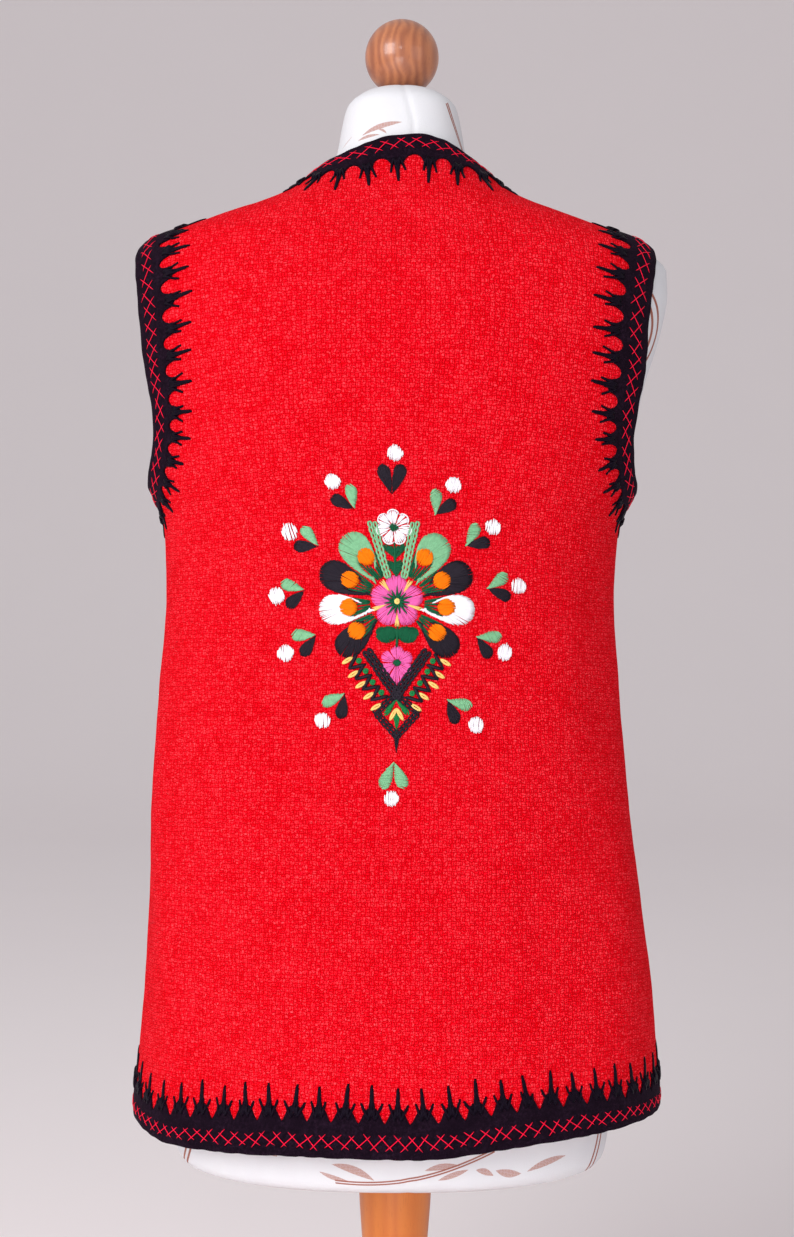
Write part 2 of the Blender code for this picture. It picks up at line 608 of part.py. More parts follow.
def build_front(side, word):
    """One front panel with its neck and front-edge, armhole and hem trims."""
    corner_share = 1.0 - FRONT_TRIM.valley / float(VEST.front(FRONT_NECK_LEVEL)) / (0.5 * math.pi)
    hem_reach = float(VEST.front(HEM_LINE[0].z))
    hem_stretch = math.pi - 0.5 * FRONT_PARTING / hem_reach - 0.5 * math.pi
    hem_share = 1.0 - FRONT_TRIM.valley / hem_reach / hem_stretch

    def neck_edge(shares):
        return front_neck_edge(shares * corner_share, side)

    def armhole(shares):
        return armhole_edge(shares, side, ARMHOLE_FRONT_REACH)

    def whole_hem(shares):
        return hem_edge(side * 0.5 * math.pi, side * (0.5 * math.pi + hem_stretch), shares)

    def hem(shares):
        return whole_hem(shares * hem_share)

    neck_teeth, neck = toothed_line(neck_edge, -side, NECK_TRIM, 0.0, CORNER_PLAIN)
    arm_teeth, arm = toothed_line(armhole, side, ARMHOLE_TRIM)
    hem_teeth, hem_points = toothed_line(hem, side, HEM_TRIM, 0.0, CORNER_PLAIN)
    corner_height = heights_of(neck_teeth[-1])[0]
    join_height = heights_of(hem_teeth[-1])[0]

    def front(shares):
        return front_edge(corner_height + shares * (join_height - corner_height), side)

    front_teeth, front_points = toothed_line(front, -side, FRONT_TRIM, CORNER_PLAIN, CORNER_PLAIN)
    neck_corner = front_neck_edge(np.array([1.0]), side)[0]
    hem_corner = whole_hem(np.array([1.0]))[0]
    shoulder = [neck_teeth[0], *seam_points(heights_of(neck_teeth[0])[0], heights_of(arm_teeth[0])[0], side),
                arm_teeth[0]]
    under = [arm_teeth[-1], *seam_points(heights_of(arm_teeth[-1])[0], heights_of(hem_teeth[0])[0], side),
             hem_teeth[0]]
    front_side = [*hem_points, hem_corner, *front_points[::-1], neck_corner, *neck[::-1]]
    edge_trim = [*neck_teeth, *front_teeth[1:-1], hem_teeth[-1], hem_points[-1], *front_side[len(hem_points):]]
    trims = [
        ("trim_edge_front_" + word, np.array(edge_trim), None),
        ("trim_armhole_front_" + word, np.array([*arm, *arm_teeth[::-1]]), None),
        ("trim_hem_front_" + word, np.array([*hem_points, *hem_teeth[::-1]]),
         np.array([hem_points[-1], hem_teeth[-1]])),
    ]
    sewn_panel("vest_front_" + word, np.array([*front_side, *shoulder, *arm, *under]), trims, 1)


# ---------------------------------------------------------------- dress form
def build_torso():
    """The cloth-covered torso and neck, lofted through its sections and closed flat at both ends."""
    mesh = bmesh.new()
    rows = []
    turns = np.arange(FORM_SIDES) * 2.0 * math.pi / FORM_SIDES
    power = 2.0 / SECTION_SQUARENESS
    for row in FORM_SECTIONS:
        x = row.half_width * np.sign(np.sin(turns)) * np.abs(np.sin(turns)) ** power
        y = -np.sign(np.cos(turns)) * np.abs(np.cos(turns)) ** power
        y = y * np.where(y < 0.0, row.back, row.front)
        rows.append([mesh.verts.new((x[i], y[i], row.z)) for i in range(FORM_SIDES)])
    for lower, upper in zip(rows, rows[1:]):
        for i in range(FORM_SIDES):
            k = (i + 1) % FORM_SIDES
            mesh.faces.new((lower[i], lower[k], upper[k], upper[i]))
    mesh.faces.new(rows[0][::-1])
    mesh.faces.new(rows[-1])
    bmesh.ops.recalc_face_normals(mesh, faces=mesh.faces[:])
    add_object("form_torso", mesh, WHITE_COVER)


def turned(name, turnings, finish):
    """A turned solid: its profile, from the axis at the top to the axis at the bottom, spun round."""
    profile = [(0.0, turnings[0].z)] + [(row.radius, row.z) for row in turnings] + [(0.0, turnings[-1].z)]
    mesh = bmesh.new()
    corners = [mesh.verts.new((radius, 0.0, z)) for radius, z in profile]
    for first, second in zip(corners, corners[1:]):
        mesh.edges.new((first, second))
    thing = add_object(name, mesh, finish)
    spin = thing.modifiers.new("spin", "SCREW")
    spin.steps = TURNED_SIDES
    spin.render_steps = TURNED_SIDES
    spin.use_merge_vertices = True
    spin.merge_threshold = 0.0001


def ball_turnings():
    """The finial's ball, cut flat where it stands on the neck."""
    foot = FORM_SECTIONS[-1].z + GAP
    last = math.acos((foot - BALL_CENTRE) / BALL_RADIUS)
    turns = np.linspace(0.0, last, 12)[1:]
    return [Turning(BALL_CENTRE + BALL_RADIUS * math.cos(turn), BALL_RADIUS * math.sin(turn)) for turn in turns]


def base_turnings():
    """The plain round base with eased edges."""
    rounding = np.linspace(0.0, 0.5 * math.pi, 4)
    top = [Turning(BASE_HEIGHT - BASE_EDGE * (1.0 - math.cos(turn)),
                   BASE_RADIUS - BASE_EDGE * (1.0 - math.sin(turn))) for turn in rounding]
    return top + [Turning(0.001, BASE_RADIUS), Turning(0.0, BASE_RADIUS - 0.001)]


# ---------------------------------------------------------------- scene objects
def collection_for_parts():
    """The collection that holds every part."""
    collection = bpy.data.collections.new("embroidered_folk_vest")
    bpy.context.scene.collection.children.link(collection)
    return collection


def material_for(name, finish):
    """A material with the part's colour, roughness and metallic value."""
    material = bpy.data.materials.new(name)
    material.use_nodes = True
    shader = material.node_tree.nodes["Principled BSDF"]
    shader.inputs["Base Color"].default_value = (*finish.colour, 1.0)
    shader.inputs["Roughness"].default_value = finish.roughness
    shader.inputs["Metallic"].default_value = finish.metallic
    return material


def add_object(name, mesh, finish):
    """A named object made from a finished mesh."""
    data = bpy.data.meshes.new(name)
    mesh.to_mesh(data)
    mesh.free()
    thing = bpy.data.objects.new(name, data)
    thing.data.materials.append(material_for(name, finish))
    PARTS.objects.link(thing)
    return thing


for old in list(bpy.data.objects):
    bpy.data.objects.remove(old)
PARTS = collection_for_parts()
build_back()
build_front(1, "right")
build_front(-1, "left")
build_torso()
turned("form_finial", ball_turnings(), BROWN_WOOD)
turned("form_pole", POLE_TURNINGS, LIGHT_WOOD)
turned("form_base", base_turnings(), LIGHT_WOOD)
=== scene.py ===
"""An embroidered folk vest on a limbless dress form: cloth, felt, stitching, wood, floor and light.

Metres, +Z up. The wearer faces +Y, so the back of the vest lies on the -Y side and its right side on +X.
The vest's cloth follows level sections that are smoothly joined, and everything sewn to it is laid out in
lengths along the cloth: by its way along an edge and its depth from it, or by its place on the back.
"""
from __future__ import annotations

import json
import logging
import math
from dataclasses import dataclass, field
from enum import Enum
from typing import Callable, Iterable, NamedTuple, Sequence

import bmesh
import bpy
import numpy as np
from mathutils import Euler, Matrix
from mathutils.geometry import delaunay_2d_cdt

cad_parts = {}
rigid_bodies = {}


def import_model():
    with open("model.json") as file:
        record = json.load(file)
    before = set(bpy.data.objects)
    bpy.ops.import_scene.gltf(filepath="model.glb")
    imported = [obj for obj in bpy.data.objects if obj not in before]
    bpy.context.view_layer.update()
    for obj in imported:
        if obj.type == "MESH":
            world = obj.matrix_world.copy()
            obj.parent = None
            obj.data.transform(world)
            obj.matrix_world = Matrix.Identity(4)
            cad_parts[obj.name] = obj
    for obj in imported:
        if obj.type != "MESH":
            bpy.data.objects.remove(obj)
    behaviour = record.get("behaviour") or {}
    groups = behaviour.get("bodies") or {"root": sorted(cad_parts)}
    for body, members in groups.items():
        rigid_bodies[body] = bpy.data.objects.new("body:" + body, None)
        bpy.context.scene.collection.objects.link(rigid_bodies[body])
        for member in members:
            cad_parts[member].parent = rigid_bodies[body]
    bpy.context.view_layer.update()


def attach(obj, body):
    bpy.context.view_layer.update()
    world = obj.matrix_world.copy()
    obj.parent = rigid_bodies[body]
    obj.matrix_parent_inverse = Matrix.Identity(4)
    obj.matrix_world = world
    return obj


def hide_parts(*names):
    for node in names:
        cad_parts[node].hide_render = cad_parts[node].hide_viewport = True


LOG = logging.getLogger("folk_vest")
BODY = "root"

# ------------------------------------------------------------------ cloth thicknesses
WALL = 0.0020           # wool hopsack with its turned edge
FELT = 0.0013           # felt of the trim
GAP = 0.0003            # between pieces that touch or are sewn together
FRONT_PARTING = 0.0020  # between the two front edges

TURN = 2.0 * math.pi
QUARTER = 0.25 * TURN

Array = np.ndarray
Thing = bpy.types.Object
Material = bpy.types.Material
Socket = bpy.types.NodeSocket
Colour = tuple[float, float, float]
Edge = Callable[[Array], Array]
Spot = tuple[float, float] | Array


class Side(Enum):
    """The wearer's right or left; the value is the sign of X."""

    RIGHT = 1
    LEFT = -1

    @property
    def word(self) -> str:
        """The side's name in piece names."""
        return self.name.lower()


class Section(NamedTuple):
    """A level section: its half width, its reach back and front, and its middle's lean to the right."""

    z: float
    half_width: float
    back: float
    front: float
    lean: float = 0.0


class Fold(NamedTuple):
    """A soft ridge or trough between two places, given by their way round from the centre back and height."""

    around0: float
    z0: float
    around1: float
    z1: float
    breadth: float
    rise: float


class Turning(NamedTuple):
    """One place on a turned profile."""

    z: float
    radius: float


class HemPoint(NamedTuple):
    """The hem's height at a way round from the centre back."""

    around: float
    z: float


VEST_SECTIONS = tuple(Section(*row) for row in (
    (0.2500, 0.2015, 0.1310, 0.1340, 0.0010), (0.3000, 0.2005, 0.1290, 0.1310, 0.0010),
    (0.3400, 0.1985, 0.1255, 0.1285, 0.0015), (0.3740, 0.1960, 0.1220, 0.1260, 0.0015),
    (0.4520, 0.1890, 0.1160, 0.1210, -0.0010), (0.5290, 0.1830, 0.1100, 0.1170, -0.0055),
    (0.6220, 0.1765, 0.1010, 0.1140, -0.0065), (0.6840, 0.1725, 0.0980, 0.1170, -0.0065),
    (0.7380, 0.1745, 0.0995, 0.1220, -0.0060), (0.7770, 0.1870, 0.1025, 0.1255, -0.0045),
    (0.8200, 0.1960, 0.1060, 0.1255, -0.0030), (0.8600, 0.2045, 0.1075, 0.1190, -0.0030),
    (0.9000, 0.2095, 0.1040, 0.1040, -0.0030), (0.9200, 0.2105, 0.0995, 0.0950, -0.0025),
    (0.9370, 0.2085, 0.0935, 0.0870, -0.0025), (0.9460, 0.2030, 0.0900, 0.0825, -0.0025),
    (0.9510, 0.1980, 0.0880, 0.0800, -0.0025), (0.9562, 0.1915, 0.0855, 0.0770, -0.0030),
    (0.9617, 0.1775, 0.0830, 0.0740, -0.0030), (0.9732, 0.1460, 0.0780, 0.0690, -0.0030),
    (0.9846, 0.1115, 0.0730, 0.0645, -0.0025), (0.9960, 0.0865, 0.0675, 0.0605, -0.0015),
    (1.0073, 0.0705, 0.0630, 0.0575), (1.0185, 0.0585, 0.0595, 0.0550), (1.0270, 0.0540, 0.0568, 0.0530),
    (1.0600, 0.0400, 0.0450, 0.0430),
))
FORM_SECTIONS = tuple(Section(*row) for row in (
    (0.2570, 0.1540, 0.0950, 0.0970, -0.0035), (0.2595, 0.1600, 0.1005, 0.1025, -0.0035),
    (0.2670, 0.1645, 0.1045, 0.1065, -0.0035), (0.2850, 0.1670, 0.1065, 0.1090, -0.0035),
    (0.3300, 0.1685, 0.1080, 0.1110, -0.0030), (0.4000, 0.1660, 0.1060, 0.1090, -0.0020),
    (0.4800, 0.1570, 0.1000, 0.1040), (0.5600, 0.1400, 0.0890, 0.0960), (0.6400, 0.1290, 0.0800, 0.0910),
    (0.7000, 0.1420, 0.0850, 0.1020), (0.7500, 0.1615, 0.0920, 0.1130), (0.8000, 0.1760, 0.0980, 0.1180),
    (0.8550, 0.1890, 0.1010, 0.1120, 0.0005), (0.8750, 0.1945, 0.1005, 0.1070, 0.0015),
    (0.8930, 0.1990, 0.0990, 0.1000, 0.0020), (0.9200, 0.2030, 0.0930, 0.0880, 0.0025),
    (0.9370, 0.2030, 0.0875, 0.0810, 0.0018), (0.9450, 0.1955, 0.0850, 0.0780, 0.0025),
    (0.9510, 0.1850, 0.0830, 0.0745, 0.0025), (0.9566, 0.1718, 0.0805, 0.0715, 0.0020),
    (0.9681, 0.1430, 0.0755, 0.0665), (0.9795, 0.1080, 0.0705, 0.0620), (0.9909, 0.0835, 0.0650, 0.0580),
    (1.0024, 0.0675, 0.0605, 0.0550), (1.0138, 0.0550, 0.0565, 0.0515), (1.0280, 0.0495, 0.0520, 0.0475),
    (1.0450, 0.0465, 0.0475, 0.0440), (1.0630, 0.0420, 0.0425, 0.0400), (1.0710, 0.0335, 0.0340, 0.0325),
    (1.0755, 0.0245, 0.0248, 0.0240), (1.0770, 0.0160, 0.0160, 0.0155),
))

# The largest folds, then the small soft creases between them.
VEST_FOLDS = tuple(Fold(*row) for row in (
    (-0.111, 0.620, -0.158, 0.515, 0.022, 0.0030), (-0.188, 0.620, -0.192, 0.340, 0.016, 0.0035),
    (-0.150, 0.430, -0.158, 0.300, 0.022, -0.0040), (0.165, 0.710, 0.168, 0.560, 0.020, -0.0030),
    (0.190, 0.560, 0.182, 0.330, 0.024, 0.0030), (0.060, 0.860, 0.018, 0.815, 0.016, -0.0020),
    (0.092, 0.790, 0.035, 0.735, 0.016, -0.0020), (-0.300, 0.600, -0.330, 0.360, 0.024, -0.0035),
    (-0.262, 0.640, -0.275, 0.380, 0.022, 0.0035), (0.285, 0.640, 0.305, 0.360, 0.024, 0.0035),
    (0.330, 0.560, 0.350, 0.320, 0.022, -0.0030), (-0.196, 0.794, -0.214, 0.768, 0.015, 0.0042),
    (0.196, 0.786, 0.214, 0.768, 0.013, 0.0030), (0.192, 0.880, 0.194, 0.806, 0.028, 0.0033),
))
SMALL_CREASES = tuple(Fold(*row) for row in (
    (-0.060, 0.445, 0.010, 0.430, 0.009, 0.0010), (0.030, 0.405, 0.095, 0.412, 0.010, 0.0009),
    (-0.135, 0.700, -0.165, 0.655, 0.012, -0.0012), (-0.120, 0.760, -0.085, 0.715, 0.013, -0.0010),
    (0.120, 0.745, 0.160, 0.690, 0.013, -0.0012), (0.110, 0.500, 0.135, 0.400, 0.016, -0.0012),
    (-0.020, 0.945, -0.055, 0.915, 0.014, -0.0008), (0.240, 0.720, 0.215, 0.660, 0.012, -0.0014),
    (-0.240, 0.730, -0.222, 0.675, 0.012, -0.0014), (0.380, 0.800, 0.430, 0.740, 0.016, -0.0016),
    (-0.380, 0.800, -0.425, 0.735, 0.016, -0.0016), (0.400, 0.600, 0.395, 0.460, 0.018, 0.0012),
    (-0.405, 0.560, -0.392, 0.430, 0.018, -0.0012),
))
HEM_LINE = tuple(HemPoint(*row) for row in (
    (-0.480, 0.2915), (-0.267, 0.2940), (-0.230, 0.2920), (-0.190, 0.2876), (-0.150, 0.2892),
    (-0.080, 0.2918), (-0.030, 0.2915), (0.020, 0.2910), (0.050, 0.2925), (0.090, 0.2965),
    (0.140, 0.3003), (0.200, 0.3022), (0.267, 0.3015), (0.340, 0.2945), (0.480, 0.2915),
))


# ------------------------------------------------------------------ small helpers
def unit(vectors: Array) -> Array:
    """Rows of vectors, each brought to length one."""
    return vectors / np.maximum(np.linalg.norm(vectors, axis=-1, keepdims=True), 1.0e-12)


def ease(share: Array | float) -> Array:
    """A smooth step from 0 to 1."""
    share = np.clip(share, 0.0, 1.0)
    return share * share * (3.0 - 2.0 * share)


def run_along(points: Array) -> Array:
    """The length along a line of points up to each of them."""
    return np.concatenate([[0.0], np.cumsum(np.linalg.norm(np.diff(points, axis=0), axis=1))])


def circle(count: int) -> Array:
    """Angles spread evenly round a circle."""
    return np.arange(count) * TURN / count


def heading(angle: Array | float) -> Array:
    """Steps of length one in flat directions."""
    return np.stack([np.cos(angle), np.sin(angle)], -1)


def leftward(run: Array) -> Array:
    """A step of length one to the left of a way."""
    return np.array([-run[1], run[0]]) / np.linalg.norm(run)


def look_up(table: Array, down: Array, across: Array) -> Array:
    """Values between a table's rows and columns.

    Args:
        table: Rows of numbers or of points.
        down: Places down the rows.
        across: Places along the columns.

    Returns:
        One number or point for each pair of places.
    """
    down, across = np.clip(down, 0.0, len(table) - 1.0), np.clip(across, 0.0, table.shape[1] - 1.0)
    j = np.minimum(down.astype(int), len(table) - 2)
    i = np.minimum(across.astype(int), table.shape[1] - 2)
    p, q = (share.reshape(-1, *[1] * (table.ndim - 2)) for share in (across - i, down - j))
    near = table[j, i] * (1.0 - p) + table[j, i + 1] * p
    far = table[j + 1, i] * (1.0 - p) + table[j + 1, i + 1] * p
    return near * (1.0 - q) + far * q


def between(first: Array, last: Array, share: Array) -> Array:
    """Straight paths from first places to last ones, by path and station."""
    return first[:, None, :] * (1.0 - share)[None, :, None] + last[:, None, :] * share[None, :, None]


class SmoothCurve:
    """A curve that runs smoothly through values at knots and never overshoots them."""

    SAMPLES = 4001

    def __init__(self, knots: Sequence[float], values: Sequence[float]) -> None:
        """Work out a fine table of the curve.

        Args:
            knots: Rising places.
            values: The value at each place.
        """
        at, height = np.array(knots), np.array(values)
        steps = np.diff(at)
        rises = np.diff(height) / steps
        slopes = np.zeros(len(height))
        slopes[0], slopes[-1] = rises[0], rises[-1]
        for i in range(1, len(height) - 1):
            if rises[i - 1] * rises[i] > 0.0:
                before = 2.0 * steps[i] + steps[i - 1]
                after = steps[i] + 2.0 * steps[i - 1]
                slopes[i] = (before + after) / (before / rises[i - 1] + after / rises[i])
        self.places = np.linspace(at[0], at[-1], self.SAMPLES)
        i = np.clip(np.searchsorted(at, self.places) - 1, 0, len(at) - 2)
        step = steps[i]
        t = (self.places - at[i]) / step
        leave = (2 * t ** 3 - 3 * t ** 2 + 1) * height[i] + (t ** 3 - 2 * t ** 2 + t) * step * slopes[i]
        self.heights = (leave + (3 * t ** 2 - 2 * t ** 3) * height[i + 1]
                        + (t ** 3 - t ** 2) * step * slopes[i + 1])

    def __call__(self, x: Array | float) -> Array:
        """The curve's values at some places."""
        return np.interp(x, self.places, self.heights)


# ------------------------------------------------------------------ shapes that carry everything
class SectionBody:
    """A round body given by level sections whose back and front may differ."""

    SQUARENESS = 2.3
    NORMAL_STEP = 2.0e-4
    SETTLE_STEP = 1.0e-4
    RAY = (0.01, 0.40)
    HALVINGS = 40

    def __init__(self, sections: Sequence[Section]) -> None:
        """Join the sections smoothly.

        Args:
            sections: Level sections from the lowest up.
        """
        levels = [row.z for row in sections]
        self.half_width = SmoothCurve(levels, [row.half_width for row in sections])
        self.back = SmoothCurve(levels, [row.back for row in sections])
        self.front = SmoothCurve(levels, [row.front for row in sections])
        self.lean = SmoothCurve(levels, [row.lean for row in sections])
        self.low = levels[0]

    def depth(self, points: Array) -> Array:
        """How far out each point lies, as a share of the section at its level; 1 is on the surface.

        Args:
            points: Places in or about the body.

        Returns:
            One share for each.
        """
        z = points[:, 2]
        reach = np.where(points[:, 1] < 0.0, self.back(z), self.front(z))
        across = np.abs(points[:, 0] - self.lean(z)) / self.half_width(z)
        along = np.abs(points[:, 1]) / reach
        return (across ** self.SQUARENESS + along ** self.SQUARENESS) ** (1.0 / self.SQUARENESS)

    def cast(self, centres: Array, directions: Array) -> Array:
        """The points where rays from inside leave the surface.

        Args:
            centres: Where the rays start.
            directions: Where they point.

        Returns:
            One point for each ray.
        """
        near, far = (np.full(len(centres), length) for length in self.RAY)
        for _ in range(self.HALVINGS):
            middle = 0.5 * (near + far)
            inside = self.depth(centres + directions * middle[:, None]) < 1.0
            near = np.where(inside, middle, near)
            far = np.where(inside, far, middle)
        return centres + directions * near[:, None]

    def normals(self, points: Array) -> Array:
        """Unit vectors that point out of the surface."""
        steps = np.eye(3) * self.NORMAL_STEP
        return unit(np.array([self.depth(points + step) - self.depth(points - step) for step in steps]).T)

    def settle(self, points: Array, rounds: int = 2) -> Array:
        """Bring points that lie near the surface onto it.

        Args:
            points: The points.
            rounds: How often they are moved.

        Returns:
            The points on the surface.
        """
        for _ in range(rounds):
            normals = self.normals(points)
            ahead = self.depth(points + normals * self.SETTLE_STEP)
            behind = self.depth(points - normals * self.SETTLE_STEP)
            slope = (ahead - behind) / (2.0 * self.SETTLE_STEP)
            points = points - normals * ((self.depth(points) - 1.0) / slope)[:, None]
        return points


class VestShape(SectionBody):
    """The outer face of the vest's cloth, with its chart and its folds.

    The chart gives each point a way round from the centre back and a height; above the chest the height is
    the climb towards the neck, turned into a length.
    """

    CHEST_LEVEL = 0.850
    CHART_RADIUS = 0.170
    CHART_ANGLE = math.radians(52.0)
    CHART_CLIMB = 1.4
    CHART_SAMPLES = 700
    HEM_RADIUS = 0.170
    FOLD_ENDS = 0.35
    RIPPLES = ((0.155, 0.9, 0.4, 0.00022), (0.088, -0.5, 2.1, 0.00016), (0.052, 1.7, 5.0, 0.00010))

    def __init__(self, sections: Sequence[Section], folds: Sequence[Fold]) -> None:
        """Take the sections and the folds, and work out the chart's radius at each height.

        Args:
            sections: The vest's level sections.
            folds: Ridges and troughs of the cloth.
        """
        super().__init__(sections)
        self.folds = folds
        self.hem_level = SmoothCurve([point.around for point in HEM_LINE], [point.z for point in HEM_LINE])
        top = self.CHEST_LEVEL + self.CHART_RADIUS * self.CHART_CLIMB
        self.chart_heights = np.linspace(self.low, top, self.CHART_SAMPLES)
        spots = self.on(np.full(len(self.chart_heights), self.CHART_ANGLE), self.chart_heights)
        self.chart_radii = np.hypot(spots[:, 0], spots[:, 1])

    def on(self, angles: Array, heights: Array) -> Array:
        """Surface points from the angle round from the centre back and the chart's height.

        Args:
            angles: Angles round.
            heights: Heights in the chart.

        Returns:
            One point for each pair.
        """
        angles, heights = np.broadcast_arrays(np.asarray(angles, float), np.asarray(heights, float))
        climb = np.maximum(heights - self.CHEST_LEVEL, 0.0) / self.CHART_RADIUS
        centres = np.zeros((len(angles), 3))
        centres[:, 2] = np.minimum(heights, self.CHEST_LEVEL)
        x, y, z = np.sin(angles) * np.cos(climb), -np.cos(angles) * np.cos(climb), np.sin(climb)
        return self.cast(centres, np.stack([x, y, z], 1))

    def chart_height(self, points: Array) -> Array:
        """The chart's height of each point."""
        z = points[:, 2]
        return np.where(z < self.CHEST_LEVEL, z, self.climb_of(z, np.hypot(points[:, 0], points[:, 1])))

    def climb_of(self, level: Array | float, reach: Array | float) -> Array:
        """The chart's height of a place above the chest, from its level and distance from the axis."""
        return self.CHEST_LEVEL + self.CHART_RADIUS * np.arctan2(level - self.CHEST_LEVEL, reach)

    def chart_radius(self, heights: Array) -> Array:
        """Radius that turns the angle round the body into a length at each height."""
        return np.interp(heights, self.chart_heights, self.chart_radii)

    def to_chart(self, points: Array) -> Array:
        """Chart places of surface points: the way round from the centre back, and the height.

        Args:
            points: The surface points.

        Returns:
            A way and a height for each.
        """
        heights = self.chart_height(points)
        angles = np.arctan2(points[:, 0], -points[:, 1])
        return np.stack([angles * self.chart_radius(heights), heights], 1)

    def from_chart(self, flat: Array) -> Array:
        """Surface points of chart places."""
        return self.on(flat[:, 0] / self.chart_radius(flat[:, 1]), flat[:, 1])

    def lift(self, points: Array) -> Array:
        """How far folds, creases and the cloth's own unevenness lift it off its plain form.

        Args:
            points: Places on the plain form.

        Returns:
            One lift for each.
        """
        flat = self.to_chart(points)
        rise = np.zeros(len(points))
        for fold in self.folds:
            start = np.array([fold.around0, fold.z0])
            run = np.array([fold.around1, fold.z1]) - start
            share = np.clip((flat - start) @ run / (run @ run), 0.0, 1.0)
            distance = np.linalg.norm(flat - start - share[:, None] * run, axis=1)
            taper = self.FOLD_ENDS + (1.0 - self.FOLD_ENDS) * np.sin(math.pi * share)
            rise += fold.rise * taper * np.exp(-(distance / fold.breadth) ** 2)
        for length, slant, phase, height in self.RIPPLES:
            way = flat[:, 0] + slant * flat[:, 1]
            cross = slant * flat[:, 0] - 0.7 * flat[:, 1]
            turn = TURN / length
            rise += height * np.sin(turn * way + phase) * np.sin(0.63 * turn * cross + 1.9 * phase)
        return rise

    def skin(self, points: Array, offset: Array) -> Array:
        """Points of the folded cloth's face, moved out along its normal.

        Args:
            points: Places on the plain form.
            offset: How far out of the cloth's face each one goes.

        Returns:
            The moved points.
        """
        return points + self.normals(points) * (self.lift(points) + offset)[:, None]


@dataclass(frozen=True)
class VestCut:
    """Where the panels' edges run over the vest's shape."""

    shape: VestShape
    shoulder_tip_level: float = 0.9550
    neck_point_half: float = 0.0650
    neck_point_level: float = 1.0105
    back_neck_level: float = 1.0270
    front_neck_level: float = 0.9150
    front_neck_roundness: float = 1.5
    armhole_bottom: float = 0.7680
    armhole_back_reach: float = 0.0540
    armhole_front_reach: float = 0.0580
    armhole_squareness: float = 2.7
    armhole_tilt: float = 0.05
    neck_shift: float = 0.12
    neck_rise: float = 0.0012
    neck_dip: float = 0.0015
    neck_right_lift: float = 0.0075

    @property
    def neck_point_height(self) -> float:
        """The chart's height where neckline and shoulder meet."""
        return self.shape.climb_of(self.neck_point_level, self.neck_point_half)

    def back_neck(self, shares: Array) -> Array:
        """The back neckline, from the left neck point to the right one.

        Args:
            shares: Shares of the way along it.

        Returns:
            Points on the plain form.
        """
        top = self.shape.climb_of(self.back_neck_level, float(self.shape.back(self.back_neck_level)))
        angles = (shares - 0.5) * math.pi
        sine, cosine = np.sin(angles), np.cos(angles)
        uneven = (self.neck_rise * cosine ** 2 - self.neck_dip * (2.0 * sine * cosine) ** 2
                  + self.neck_right_lift * np.maximum(sine, 0.0) ** 2 * cosine)
        fall = (top - self.neck_point_height) * np.sin(angles - self.neck_shift * cosine ** 2) ** 2
        return self.shape.on(angles, top - fall + uneven)

    def front_neck(self, shares: Array, side: int) -> Array:
        """One half of the front neckline, from the neck point to the centre front.

        Args:
            shares: Shares of the way along it.
            side: 1 on the right, -1 on the left.

        Returns:
            Points on the plain form.
        """
        reach = float(self.shape.front(self.front_neck_level))
        low = self.shape.climb_of(self.front_neck_level, reach)
        last = math.pi - 0.5 * FRONT_PARTING / reach
        angles = QUARTER + shares * (last - QUARTER)
        rise = self.neck_point_height - low
        return self.shape.on(side * angles, low + rise * np.abs(np.sin(angles)) ** self.front_neck_roundness)

    def armhole(self, shares: Array, side: int, reach: float) -> Array:
        """One half of an armhole, from the shoulder tip down; a negative reach is the back half.

        Args:
            shares: Shares of the way along it.
            side: 1 on the right, -1 on the left.
            reach: How far it reaches back or front.

        Returns:
            Points on the plain form.
        """
        turn = math.pi * shares
        reach *= 1.0 + self.armhole_tilt * side * (reach < 0.0)
        middle = 0.5 * (self.shoulder_tip_level + self.armhole_bottom)
        half = 0.5 * (self.shoulder_tip_level - self.armhole_bottom)
        power = 2.0 / self.armhole_squareness
        z = middle + half * np.sign(np.cos(turn)) * np.abs(np.cos(turn)) ** power
        y = reach * np.abs(np.sin(turn)) ** power
        edge = self.shape.back(z) if reach < 0.0 else self.shape.front(z)
        share = 1.0 - (np.abs(y) / edge) ** self.shape.SQUARENESS
        x = self.shape.lean(z) + side * self.shape.half_width(z) * share ** (1.0 / self.shape.SQUARENESS)
        return np.stack([x, y, z], 1)

    def hem(self, start: float, end: float, shares: Array) -> Array:
        """The hem between two angles round from the centre back."""
        angles = start + shares * (end - start)
        return self.shape.on(angles, self.shape.hem_level(angles * self.shape.HEM_RADIUS))

    def front(self, heights: Array, side: int) -> Array:
        """Points down one front edge, which stands half the parting off the centre."""
        reach = self.shape.front(np.minimum(heights, self.shape.CHEST_LEVEL))
        return self.shape.on(side * (math.pi - 0.5 * FRONT_PARTING / reach), heights)

    def seam(self, heights: Array, side: int) -> Array:
        """Points on the shoulder line or the side seam, where back and front are sewn."""
        return self.shape.on(np.full(len(heights), side * QUARTER), heights)


